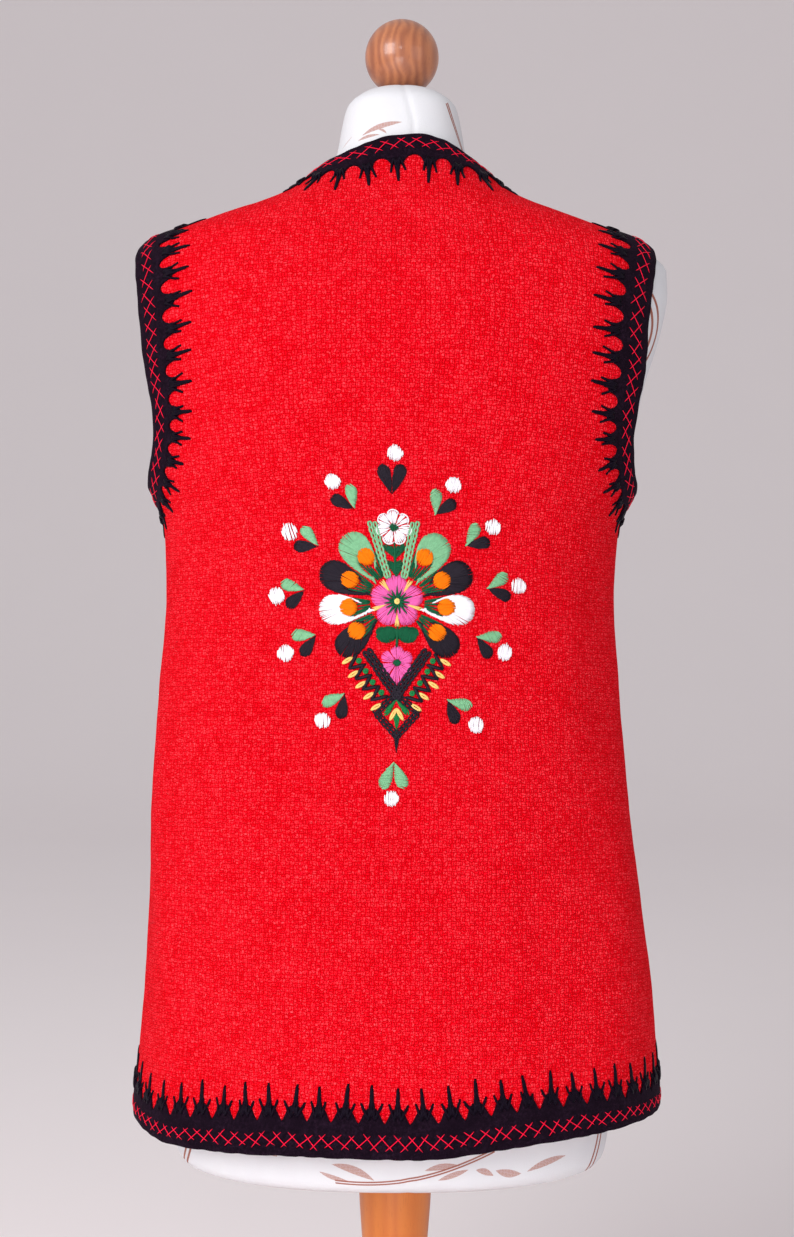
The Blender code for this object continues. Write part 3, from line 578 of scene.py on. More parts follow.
class EdgeBand:
    """The cloth beside an edge, measured by the way along the edge and the depth from it."""

    REACH = 0.064
    STEP = 0.004
    SPACING = 0.002
    SAMPLES = 481
    NUDGE = 1.0e-3

    def __init__(self, shape: VestShape, edge: Edge, turn: int) -> None:
        """Walk over the cloth from the whole edge and keep the way as a table.

        Args:
            shape: The vest's shape.
            edge: The edge as a function of shares.
            turn: 1 or -1, the side of the edge on which the cloth lies.
        """
        self.shape = shape
        dense = np.linspace(0.0, 1.0, self.SAMPLES)
        run = run_along(edge(dense))
        self.length = float(run[-1])
        self.places = np.linspace(0.0, self.length, max(8, round(self.length / self.SPACING)))
        shares = np.interp(self.places, run, dense)
        feet = edge(shares)
        ahead = edge(np.minimum(shares + self.NUDGE, 1.0)) - edge(np.maximum(shares - self.NUDGE, 0.0))
        directions = unit(turn * np.cross(shape.normals(feet), ahead))
        rows = [feet]
        for _ in range(round(self.REACH / self.STEP)):
            feet = shape.settle(feet + directions * self.STEP)
            normals = shape.normals(feet)
            directions = unit(directions - normals * np.sum(directions * normals, axis=1)[:, None])
            rows.append(feet)
        self.table = np.stack(rows)

    def at(self, places: Array, depths: Array) -> Array:
        """Points on the plain form.

        Args:
            places: Ways along the edge.
            depths: Depths from the edge.

        Returns:
            One point for each pair.
        """
        across = np.clip(places / self.length, 0.0, 1.0) * (len(self.places) - 1)
        return self.shape.settle(look_up(self.table, depths / self.STEP, across), 1)


class BackField:
    """The middle of the back, measured in lengths right and up from a centre on the cloth."""

    HALF = 0.130
    SPACING = 0.002
    LEVEL_STEP = 0.005
    ANGLES = np.radians(np.linspace(-75.0, 75.0, 301))

    def __init__(self, shape: VestShape, centre_level: float, centre_x: float, low: float,
                 high: float) -> None:
        """Measure the cloth level by level.

        Args:
            shape: The vest's shape.
            centre_level: The centre's level.
            centre_x: Its place to the right of the axis.
            low: The lowest level covered.
            high: The highest level covered.
        """
        self.shape = shape
        self.centre_level = centre_level
        self.levels = np.arange(low, high, self.LEVEL_STEP)
        self.ways = np.arange(-self.HALF, self.HALF + 0.5 * self.SPACING, self.SPACING)
        rows = []
        for level in self.levels:
            points = shape.on(self.ANGLES, level)
            run = run_along(points)
            run -= np.interp(centre_x, points[:, 0], run)
            rows.append(np.interp(self.ways, run, self.ANGLES))
        self.table = np.stack(rows)

    def at(self, right: Array, up: Array) -> Array:
        """Points on the plain form from lengths right and up of the centre.

        Args:
            right: Lengths to the right.
            up: Lengths up.

        Returns:
            One point for each pair.
        """
        level = self.centre_level + up
        climb = (level - self.levels[0]) / (self.levels[1] - self.levels[0])
        return self.shape.on(look_up(self.table, climb, (right + self.HALF) / self.SPACING), level)


# ------------------------------------------------------------------ meshes
class MeshParts:
    """Points and faces gathered for one piece."""

    def __init__(self) -> None:
        """Start with nothing."""
        self.points: list[Array] = []
        self.faces: list[Array] = []
        self.flat: list[Array] = []
        self.count = 0

    def add(self, points: Array, faces: Iterable[Array], flat: Array | None = None) -> None:
        """Add points and the faces between them.

        Args:
            points: Rows of three numbers.
            faces: Arrays of corner numbers, one row for each face.
            flat: Cloth places of the points, for the finish.
        """
        for group in faces:
            self.faces.append(np.asarray(group) + self.count)
        self.points.append(points)
        self.flat.append(np.zeros((len(points), 2)) if flat is None else flat)
        self.count += len(points)

    def build(self, name: str, finish: Material) -> Thing:
        """Make the object, shaded smooth and with its normals pointing out.

        Args:
            name: The piece's name.
            finish: Its material.

        Returns:
            The new object.
        """
        mesh = bpy.data.meshes.new(name)
        points = np.concatenate(self.points)
        flat = np.concatenate(self.flat)
        corners = np.concatenate([group.ravel() for group in self.faces])
        totals = np.concatenate([np.full(len(group), group.shape[1]) for group in self.faces])
        mesh.vertices.add(len(points))
        mesh.vertices.foreach_set("co", points.astype(np.float32).ravel())
        mesh.loops.add(len(corners))
        mesh.loops.foreach_set("vertex_index", corners.astype(np.int32))
        mesh.polygons.add(len(totals))
        starts = np.concatenate([[0], np.cumsum(totals)[:-1]])
        mesh.polygons.foreach_set("loop_start", starts.astype(np.int32))
        layer = mesh.uv_layers.new(name="cloth")
        layer.data.foreach_set("uv", flat[corners].astype(np.float32).ravel())
        mesh.update(calc_edges=True)
        mesh.validate()
        work = bmesh.new()
        work.from_mesh(mesh)
        bmesh.ops.recalc_face_normals(work, faces=work.faces[:])
        work.to_mesh(mesh)
        work.free()
        mesh.polygons.foreach_set("use_smooth", np.full(len(mesh.polygons), True))
        mesh.materials.append(finish)
        thing = bpy.data.objects.new(name, mesh)
        bpy.context.scene.collection.objects.link(thing)
        return thing


def ring_faces(rows: int, around: int) -> list[Array]:
    """Faces of a closed tube whose rows of points follow each other.

    Args:
        rows: How many rows.
        around: How many points in each row.

    Returns:
        The quads of the wall, and the two end faces.
    """
    j = np.arange(rows - 1)[:, None] * around
    i = np.arange(around)[None, :]
    k = (i + 1) % around
    wall = np.stack([j + i, j + k, j + k + around, j + i + around], -1).reshape(-1, 4)
    first = np.arange(around)[::-1][None, :]
    last = (np.arange(around) + (rows - 1) * around)[None, :]
    return [wall, first, last]


class ThreadWork:
    """Stitches of one thread, each a slim closed tube lying on the cloth, gathered into one piece."""

    AROUND = 6
    PLY = 0.0012
    PLUMP = 0.75

    def __init__(self, shape: VestShape) -> None:
        """Start with no stitches.

        Args:
            shape: The cloth that they lie on.
        """
        self.shape = shape
        self.parts = MeshParts()

    def sew(self, base: Array, offset: Array, half_width: Array) -> None:
        """Add stitches.

        Args:
            base: Points on the plain form, by stitch and station.
            offset: How far each station's middle stands out of the cloth.
            half_width: Half the thread's width at each station.
        """
        count, stations, _ = base.shape
        flat = base.reshape(-1, 3)
        normals = self.shape.normals(flat)
        middle = flat + normals * (self.shape.lift(flat) + offset.ravel())[:, None]
        middle = middle.reshape(count, stations, 3)
        normals = normals.reshape(count, stations, 3)
        along = unit(np.gradient(middle, axis=1))
        across = unit(np.cross(along, normals))
        up = np.cross(across, along)
        turns = circle(self.AROUND)
        wide = (half_width[..., None] * np.cos(turns))[..., None]
        tall = (half_width[..., None] * self.PLUMP * np.sin(turns))[..., None]
        points = middle[:, :, None, :] + across[:, :, None, :] * wide + up[:, :, None, :] * tall
        steps = np.linalg.norm(np.diff(middle, axis=1), axis=2)
        run = np.concatenate([np.zeros((count, 1)), np.cumsum(steps, axis=1)], 1)
        place = np.zeros((count, stations, self.AROUND, 2))
        place[..., 0] = run[:, :, None]
        place[..., 1] = np.abs(1.0 - turns / math.pi) * self.PLY
        size = stations * self.AROUND
        starts = (np.arange(count) * size)[:, None, None]
        tube = ring_faces(stations, self.AROUND)
        faces = [(group[None] + starts).reshape(-1, group.shape[1]) for group in tube]
        self.parts.add(points.reshape(-1, 3), faces, place.reshape(-1, 2))

    def build(self, name: str, finish: Material) -> Thing:
        """Make the piece."""
        return self.parts.build(name, finish)


# ------------------------------------------------------------------ finishes
class NodeBench:
    """A material being made, with short ways to add and join its nodes."""

    def __init__(self, name: str) -> None:
        """Start a material with its shader.

        Args:
            name: The material's name.
        """
        self.material = bpy.data.materials.new(name)
        self.material.use_nodes = True
        self.tree = self.material.node_tree
        self.shader = self.tree.nodes["Principled BSDF"]

    def node(self, kind: str, inputs: dict | None = None, **settings: object) -> bpy.types.Node:
        """Add a node.

        Args:
            kind: The node's type.
            inputs: Values or sockets for its inputs, by name or number.
            settings: Its own settings.

        Returns:
            The node.
        """
        made = self.tree.nodes.new(kind)
        for key, value in settings.items():
            setattr(made, key, value)
        for key, value in (inputs or {}).items():
            self.join(value, made.inputs[key])
        return made

    def join(self, value: object, socket: Socket) -> None:
        """Set a socket, with full cover for a colour, or link another one to it.

        Args:
            value: The value, colour or other socket.
            socket: What is set.
        """
        if isinstance(value, Socket):
            self.tree.links.new(value, socket)
        else:
            socket.default_value = (*value, 1.0) if socket.type == "RGBA" else value

    def maths(self, operation: str, *values: object) -> Socket:
        """The outcome of a sum on values or sockets."""
        return self.node("ShaderNodeMath", dict(enumerate(values)), operation=operation).outputs[0]

    def plus(self, *values: object) -> Socket:
        """The sum of two values or sockets."""
        return self.maths("ADD", *values)

    def times(self, *values: object) -> Socket:
        """The product of two values or sockets."""
        return self.maths("MULTIPLY", *values)

    def larger(self, *values: object) -> Socket:
        """The larger of two values or sockets."""
        return self.maths("MAXIMUM", *values)

    def arches(self, turn: object) -> Socket:
        """A row of arches: a sine wave without its sign."""
        return self.maths("ABSOLUTE", self.maths("SINE", turn))

    def vector(self, operation: str, *values: object) -> Socket:
        """The outcome of a vector sum on values or sockets."""
        return self.node("ShaderNodeVectorMath", dict(enumerate(values)), operation=operation).outputs[0]

    def mix(self, share: object, first: object, second: object) -> Socket:
        """A colour between two."""
        inputs = {0: share, 6: first, 7: second}
        return self.node("ShaderNodeMix", inputs, data_type="RGBA").outputs[2]

    def split(self, place: object) -> Sequence[Socket]:
        """A place's coordinates."""
        return self.node("ShaderNodeSeparateXYZ", {0: place}).outputs

    def drift(self, place: object, scale: float, reach: float) -> Socket:
        """A small cloudy shift of a place.

        Args:
            place: Where it is.
            scale: How fine the clouds are.
            reach: How far they shift.

        Returns:
            The shift.
        """
        cloud = self.node("ShaderNodeTexNoise", {"Vector": place, "Scale": scale, "Detail": 1.0}).outputs[1]
        shift = self.vector("SCALE", self.vector("SUBTRACT", cloud, (0.5, 0.5, 0.5)))
        shift.node.inputs["Scale"].default_value = reach
        return shift

    def noise(self, place: object, scale: float, detail: float, roughness: float = 0.5) -> Socket:
        """Cloudy values about one half."""
        inputs = {"Vector": place, "Scale": scale, "Detail": detail, "Roughness": roughness}
        return self.node("ShaderNodeTexNoise", inputs).outputs[0]

    def span(self, value: object, low: float, high: float, new_low: float = 0.0,
             new_high: float = 1.0) -> Socket:
        """A value mapped from one range to another, and held inside it."""
        inputs = {0: value, 1: low, 2: high, 3: new_low, 4: new_high}
        return self.node("ShaderNodeMapRange", inputs).outputs[0]

    def bump(self, height: object, distance: float) -> Socket:
        """A surface normal raised by a height.

        Args:
            height: The height.
            distance: The height of 1 in metres.

        Returns:
            The normal.
        """
        inputs = {"Height": height, "Distance": distance, "Strength": 1.0}
        return self.node("ShaderNodeBump", inputs).outputs[0]

    def place(self) -> Socket:
        """The object's own coordinates, in metres."""
        return self.node("ShaderNodeTexCoord").outputs["Object"]

    def cloth_place(self) -> Socket:
        """Lengths along the cloth, in metres."""
        return self.node("ShaderNodeUVMap", uv_map="cloth").outputs[0]

    def dress(self, **inputs: object) -> Material:
        """Set the shader's inputs, with _ for a space, and give the material.

        Args:
            inputs: Values or sockets by name.

        Returns:
            The material.
        """
        for key, value in inputs.items():
            self.join(value, self.shader.inputs[key.replace("_", " ")])
        return self.material


def dimmed(colour: Colour, share: float) -> Colour:
    """A colour with a share of its light."""
    return tuple(share * part for part in colour)


@dataclass(frozen=True)
class WoolFinish:
    """Hopsack weave: pairs of threads that pass over and under each other in small squares, with painted
    shade in the hollows between them and painted highlight flecks on their raised tops.
    """

    name: str = "red_wool"
    thread: Colour = (0.835, 0.0018, 0.0145)
    # painted shade: the colour where the weave lies low, in the hollows between the threads
    hollow_shade: Colour = (0.580, 0.0002, 0.0022)
    # painted highlight: the paler colour of flecks on the threads' raised tops
    top_highlight: Colour = (0.980, 0.0700, 0.0880)
    cell: float = 0.0033
    height: float = 0.00075

    def material(self) -> Material:
        """Make the material.

        Returns:
            The material.
        """
        bench = NodeBench(self.name)
        place = bench.cloth_place()
        far = bench.drift(place, 120.0, 0.0024)
        near = bench.drift(place, 480.0, 0.0024)
        right, up, _ = bench.split(bench.vector("ADD", bench.vector("ADD", place, far), near))
        x, y = bench.maths("DIVIDE", right, self.cell), bench.maths("DIVIDE", up, self.cell)
        square = bench.maths("PINGPONG", bench.plus(bench.maths("FLOOR", x), bench.maths("FLOOR", y)), 1.0)

        def threads(across: Socket, along: Socket) -> tuple[Socket, Socket]:
            """Relief and chance tone of the threads that run one way.

            Args:
                across: Places across them, in squares.
                along: Places along them.

            Returns:
                Their relief and their tone.
            """
            arch = bench.arches(bench.times(along, math.pi))
            pair = bench.arches(bench.times(across, TURN))
            relief = bench.times(bench.maths("POWER", arch, 0.5), bench.maths("POWER", pair, 0.55))
            column, row = bench.maths("FLOOR", bench.times(across, 2.0)), bench.maths("FLOOR", along)
            strand = bench.node("ShaderNodeCombineXYZ", {0: column, 1: row}).outputs[0]
            chance = bench.node("ShaderNodeTexWhiteNoise", {"Vector": strand}, noise_dimensions="3D")
            return relief, chance.outputs[0]

        (warp, warp_tone), (weft, weft_tone) = threads(x, y), threads(y, x)
        other = bench.maths("SUBTRACT", 1.0, square)
        weave = bench.plus(bench.times(warp, square), bench.times(weft, other))
        tone = bench.plus(bench.times(warp_tone, square), bench.times(weft_tone, other))
        fuzz = bench.noise(bench.place(), 1500.0, 3.0, 0.7)
        grain = bench.noise(bench.place(), 640.0, 3.0, 0.65)
        cloud = bench.noise(bench.place(), 40.0, 3.0, 0.6)
        raised = bench.times(weave, bench.plus(0.45, bench.times(tone, 0.55)))
        raised = bench.plus(raised, bench.span(fuzz, 0.30, 0.70, -0.26, 0.26))
        raised = bench.plus(raised, bench.span(cloud, 0.30, 0.70, -0.07, 0.07))
        # Painted shade: darker where the weave lies low between the threads, and also at random by tone, fuzz
        # and cloud.
        body = bench.mix(bench.span(raised, 0.10, 0.60), self.hollow_shade, self.thread)
        # Painted highlight: paler flecks where the weave stands highest, broken up by a fine grain.
        highlight_share = bench.times(bench.span(raised, 0.40, 0.90), bench.span(grain, 0.40, 0.64))
        body = bench.mix(highlight_share, body, self.top_highlight)
        height = bench.plus(weave, bench.times(fuzz, 0.55))
        return bench.dress(Base_Color=body, Roughness=0.92, Sheen_Weight=0.08, Sheen_Roughness=0.45,
                           Sheen_Tint=(1.0, 0.10, 0.10), Specular_IOR_Level=0.02,
                           Normal=bench.bump(height, self.height))


@dataclass(frozen=True)
class FeltFinish:
    """Soft matted black felt with paler worn patches."""

    name: str = "black_felt"
    body: Colour = (0.0040, 0.0013, 0.0044)
    worn: Colour = (0.0155, 0.0064, 0.0155)
    fibre: Colour = (0.0500, 0.0250, 0.0490)

    def material(self) -> Material:
        """Make the material.

        Returns:
            The material.
        """
        bench = NodeBench(self.name)
        tufts = bench.noise(bench.place(), 420.0, 4.0, 0.7)
        fibres = bench.noise(bench.place(), 1700.0, 2.0, 0.7)
        patches = bench.noise(bench.place(), 75.0, 3.0, 0.65)
        share = bench.times(bench.span(tufts, 0.42, 0.66), bench.span(patches, 0.34, 0.66, 0.15, 1.0))
        body = bench.mix(share, self.body, self.worn)
        body = bench.mix(bench.span(fibres, 0.62, 0.80, 0.0, 0.7), body, self.fibre)
        height = bench.plus(tufts, bench.times(fibres, 0.4))
        return bench.dress(Base_Color=body, Roughness=0.95, Sheen_Weight=0.02, Sheen_Roughness=0.6,
                           Sheen_Tint=(0.75, 0.40, 0.75), Specular_IOR_Level=0.05,
                           Normal=bench.bump(height, 0.0006))


@dataclass(frozen=True)
class ThreadFinish:
    """Embroidery thread with a slight gloss and its twist, with painted shade in the grooves between its
    plies.
    """

    name: str
    colour: Colour
    roughness: float = 0.45
    # the share of the colour left in the painted shade between the plies
    shade: float = 0.55
    gloss: float = 0.30
    ply_length: float = 0.0016
    ply_round: float = 0.0013

    def material(self) -> Material:
        """Make the material.

        Returns:
            The material.
        """
        bench = NodeBench(self.name)
        along, around, _ = bench.split(bench.cloth_place())
        twist = bench.plus(bench.times(along, TURN / self.ply_length),
                           bench.times(around, TURN / self.ply_round))
        ply = bench.arches(twist)
        tone = bench.noise(bench.place(), 520.0, 2.0, 0.6)
        # Painted shade: the colour falls towards its shade in the twist's grooves, where the plies lie low,
        # and also varies at random by tone.
        share = bench.plus(bench.span(ply, 0.0, 0.6, 0.0, 0.7), bench.span(tone, 0.35, 0.65, 0.0, 0.3))
        body = bench.mix(share, dimmed(self.colour, self.shade), self.colour)
        return bench.dress(Base_Color=body, Roughness=self.roughness, Specular_IOR_Level=self.gloss,
                           Specular_Tint=(0.90, 0.82, 1.0), Normal=bench.bump(ply, 0.00012))


class Leaf(NamedTuple):
    """A printed leaf in the cover's repeat, or a twin stem where its lines have a half breadth."""

    right: float
    up: float
    turn: float
    length: float
    half: float
    bow: float
    line: float = 0.0


PRINT_REPEAT = tuple(Leaf(*row) for row in (
    (0.1224, 0.0246, -17.0, 0.039, 0.0029, 0.0020), (0.1062, 0.0213, -15.0, 0.026, 0.0017, -0.0010),
    (0.1760, 0.0285, 9.0, 0.140, 0.0010, -0.0085, 0.0006), (0.2020, 0.0279, 6.0, 0.031, 0.0023, 0.0012),
    (0.2115, 0.0226, 16.0, 0.027, 0.0021, 0.0), (0.0115, 0.0420, 4.0, 0.024, 0.0050, 0.0),
    (0.0540, 0.0385, -34.0, 0.019, 0.0032, 0.0), (0.2375, 0.0232, -20.0, 0.015, 0.0024, 0.0010),
    (0.2560, 0.0225, -12.0, 0.020, 0.0030, -0.0010), (0.2850, 0.0250, 14.0, 0.031, 0.0025, 0.0014),
    (0.3285, 0.0290, 70.0, 0.056, 0.0024, -0.0040, 0.0010), (0.1453, 0.0858, 16.5, 0.032, 0.0020, 0.0018),
    (0.1457, 0.0832, -31.0, 0.008, 0.0009, 0.0010), (0.1352, 0.0791, 10.0, 0.018, 0.0012, 0.0010),
    (0.1140, 0.0790, 30.0, 0.016, 0.0003, 0.0), (0.2070, 0.0930, -60.0, 0.040, 0.0010, -0.0015, 0.0007),
    (-0.0155, 0.1115, 94.0, 0.100, 0.0038, -0.0420, 0.0013), (0.0540, 0.0820, 112.0, 0.026, 0.0026, -0.0020),
    (0.0900, 0.1560, 30.0, 0.030, 0.0030, 0.0020), (0.2520, 0.1400, 100.0, 0.052, 0.0012, 0.0050, 0.0007),
    (0.2720, 0.1460, 60.0, 0.026, 0.0026, 0.0020), (0.3050, 0.1150, 30.0, 0.028, 0.0028, 0.0020),
))


@dataclass(frozen=True)
class CoverFinish:
    """White cotton cover with a sparse repeat of brown leaves and thin twin stems."""

    name: str = "white_cover"
    cotton: Colour = (0.650, 0.655, 0.682)
    shade: Colour = (0.610, 0.615, 0.655)
    leaf_colour: Colour = (0.360, 0.138, 0.095)
    stem_colour: Colour = (0.300, 0.110, 0.080)
    repeat_width: float = 0.340
    repeat_height: float = 0.175
    repeat_right: float = 0.160
    repeat_up: float = -0.250
    dot: float = 0.0011

    def mark(self, bench: NodeBench, place: Socket, leaf: Leaf) -> Socket:
        """Ink of one leaf or twin stem.

        Args:
            bench: The material being made.
            place: Places within the repeat.
            leaf: What is printed.

        Returns:
            1 where there is ink.
        """
        away = bench.vector("SUBTRACT", place, (leaf.right, leaf.up, 0.0))
        turned = bench.node("ShaderNodeVectorRotate", {"Vector": away, "Angle": -math.radians(leaf.turn)},
                            rotation_type="Z_AXIS").outputs[0]
        lengthwise, sideways, _ = bench.split(turned)
        along = bench.maths("DIVIDE", lengthwise, 0.5 * leaf.length)
        belly = bench.larger(bench.maths("SUBTRACT", 1.0, bench.times(along, along)), 0.0)
        middle = bench.times(belly, leaf.bow)
        across = bench.maths("ABSOLUTE", bench.maths("SUBTRACT", sideways, middle))
        if leaf.line:
            side = bench.maths("ABSOLUTE", bench.maths("SUBTRACT", across, leaf.half))
            return bench.times(bench.maths("LESS_THAN", side, leaf.line),
                               bench.maths("GREATER_THAN", belly, 0.0))
        return bench.maths("LESS_THAN", across, bench.times(belly, leaf.half))

    def material(self) -> Material:
        """Make the material.

        Returns:
            The material.
        """
        bench = NodeBench(self.name)
        place = bench.cloth_place()
        right, up, _ = bench.split(place)
        right = bench.maths("FLOORED_MODULO", bench.plus(right, self.repeat_right), self.repeat_width)
        up = bench.maths("FLOORED_MODULO", bench.plus(up, self.repeat_up), self.repeat_height)
        within = bench.node("ShaderNodeCombineXYZ", {0: right, 1: up}).outputs[0]
        inputs = {"Vector": place, "Scale": 1.0 / self.dot, "Randomness": 0.20}
        specks = bench.node("ShaderNodeTexVoronoi", inputs, voronoi_dimensions="2D").outputs["Distance"]
        leaves, stems = 0.0, 0.0
        for leaf in PRINT_REPEAT:
            ink = self.mark(bench, within, leaf)
            if leaf.line:
                stems = bench.larger(ink, stems)
            else:
                leaves = bench.larger(ink, leaves)
        leaves = bench.times(leaves, bench.span(specks, 0.26, 0.42, 1.0, 0.58))
        ink = bench.larger(bench.times(leaves, 0.94), stems)
        weave = bench.noise(bench.place(), 1300.0, 2.0, 0.6)
        mottle = bench.noise(bench.place(), 35.0, 2.0, 0.5)
        cotton = bench.mix(bench.span(mottle, 0.35, 0.75, 0.0, 0.5), self.cotton, self.shade)
        dye = bench.mix(stems, self.leaf_colour, self.stem_colour)
        return bench.dress(Base_Color=bench.mix(ink, cotton, dye), Roughness=0.75,
                           Specular_IOR_Level=0.2, Normal=bench.bump(weave, 0.00018))


@dataclass(frozen=True)
class WoodFinish:
    """Turned wood with long grain under a clear coat."""

    name: str
    light: Colour
    dark: Colour
    roughness: float
    coat: float
    rings: float = 95.0

    def material(self) -> Material:
        """Make the material.

        Returns:
            The material.
        """
        bench = NodeBench(self.name)
        inputs = {"Vector": bench.place(), "Location": (0.031, 0.012, 0.0), "Scale": (1.0, 1.0, 0.10)}
        stretched = bench.node("ShaderNodeMapping", inputs).outputs[0]
        warp = bench.noise(stretched, 30.0, 3.0, 0.6)
        inputs = {"Vector": stretched, "Scale": self.rings * 0.32, "Distortion": 5.0, "Detail": 2.0,
                  "Detail Scale": 1.6}
        rings = bench.node("ShaderNodeTexWave", inputs, wave_type="RINGS", rings_direction="Z").outputs[1]
        pores = bench.noise(stretched, 900.0, 3.0, 0.65)
        share = bench.plus(bench.times(rings, 0.45), bench.span(warp, 0.30, 0.72, 0.0, 0.55))
        body = bench.mix(share, self.light, self.dark)
        body = bench.mix(bench.span(pores, 0.56, 0.72, 0.0, 0.40), body, dimmed(self.dark, 0.72))
        return bench.dress(Base_Color=body, Roughness=self.roughness, Coat_Weight=self.coat,
                           Coat_Roughness=0.12, Specular_IOR_Level=0.5, Normal=bench.bump(pores, 0.00010))


@dataclass(frozen=True)
class FloorFinish:
    """Plain pale matt paper."""

    name: str = "pale_floor"
    colour: Colour = (0.930, 0.880, 0.895)

    def material(self) -> Material:
        """Make the material.

        Returns:
            The material.
        """
        bench = NodeBench(self.name)
        tone = bench.noise(bench.place(), 3.0, 2.0)
        body = bench.mix(tone, self.colour, dimmed(self.colour, 0.985))
        return bench.dress(Base_Color=body, Roughness=0.9, Specular_IOR_Level=0.1)


class Threads(Enum):
    """The embroidery threads."""

    RED = ThreadFinish("red_stitch", (0.920, 0.0045, 0.0420), 0.60, 0.62, 0.12)
    JET = ThreadFinish("jet_thread", (0.0050, 0.0020, 0.0074), 0.38, 0.25, 0.07)
    BLACK = ThreadFinish("black_thread", (0.0110, 0.0075, 0.0135), 0.42, 0.30, 0.22)
    WHITE = ThreadFinish("white_thread", (0.900, 0.880, 0.930), 0.50, 0.78, 0.30)
    MINT = ThreadFinish("mint_thread", (0.228, 0.545, 0.290), 0.45, 0.48, 0.24)
    GREEN = ThreadFinish("green_thread", (0.0006, 0.1050, 0.0400), 0.50, 0.45, 0.18)
    LEAF = ThreadFinish("leaf_thread", (0.0060, 0.2100, 0.0520), 0.50, 0.50, 0.18)
    ORANGE = ThreadFinish("orange_thread", (0.980, 0.205, 0.0004), 0.50, 0.70, 0.10)
    PINK = ThreadFinish("pink_thread", (0.955, 0.150, 0.500), 0.48, 0.56, 0.24)
    YELLOW = ThreadFinish("yellow_thread", (0.950, 0.640, 0.190), 0.45, 0.55, 0.22)


# ------------------------------------------------------------------ pieces of the vest
@dataclass(frozen=True)
class Record:
    """Lets each piece ride on the frame's body, and reports it."""

    body: str = BODY

    def piece(self, thing: Thing, slot: str, replaces: Sequence[str] = ()) -> Thing:
        """Let a piece ride on the body, and hide the nodes that it stands for.

        Args:
            thing: The piece.
            slot: Not used.
            replaces: Names of nodes that it stands for.

        Returns:
            The piece.
        """
        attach(thing, self.body)
        if replaces:
            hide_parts(*replaces)
        LOG.info("%s: %d faces", thing.name, len(thing.data.polygons))
        return thing


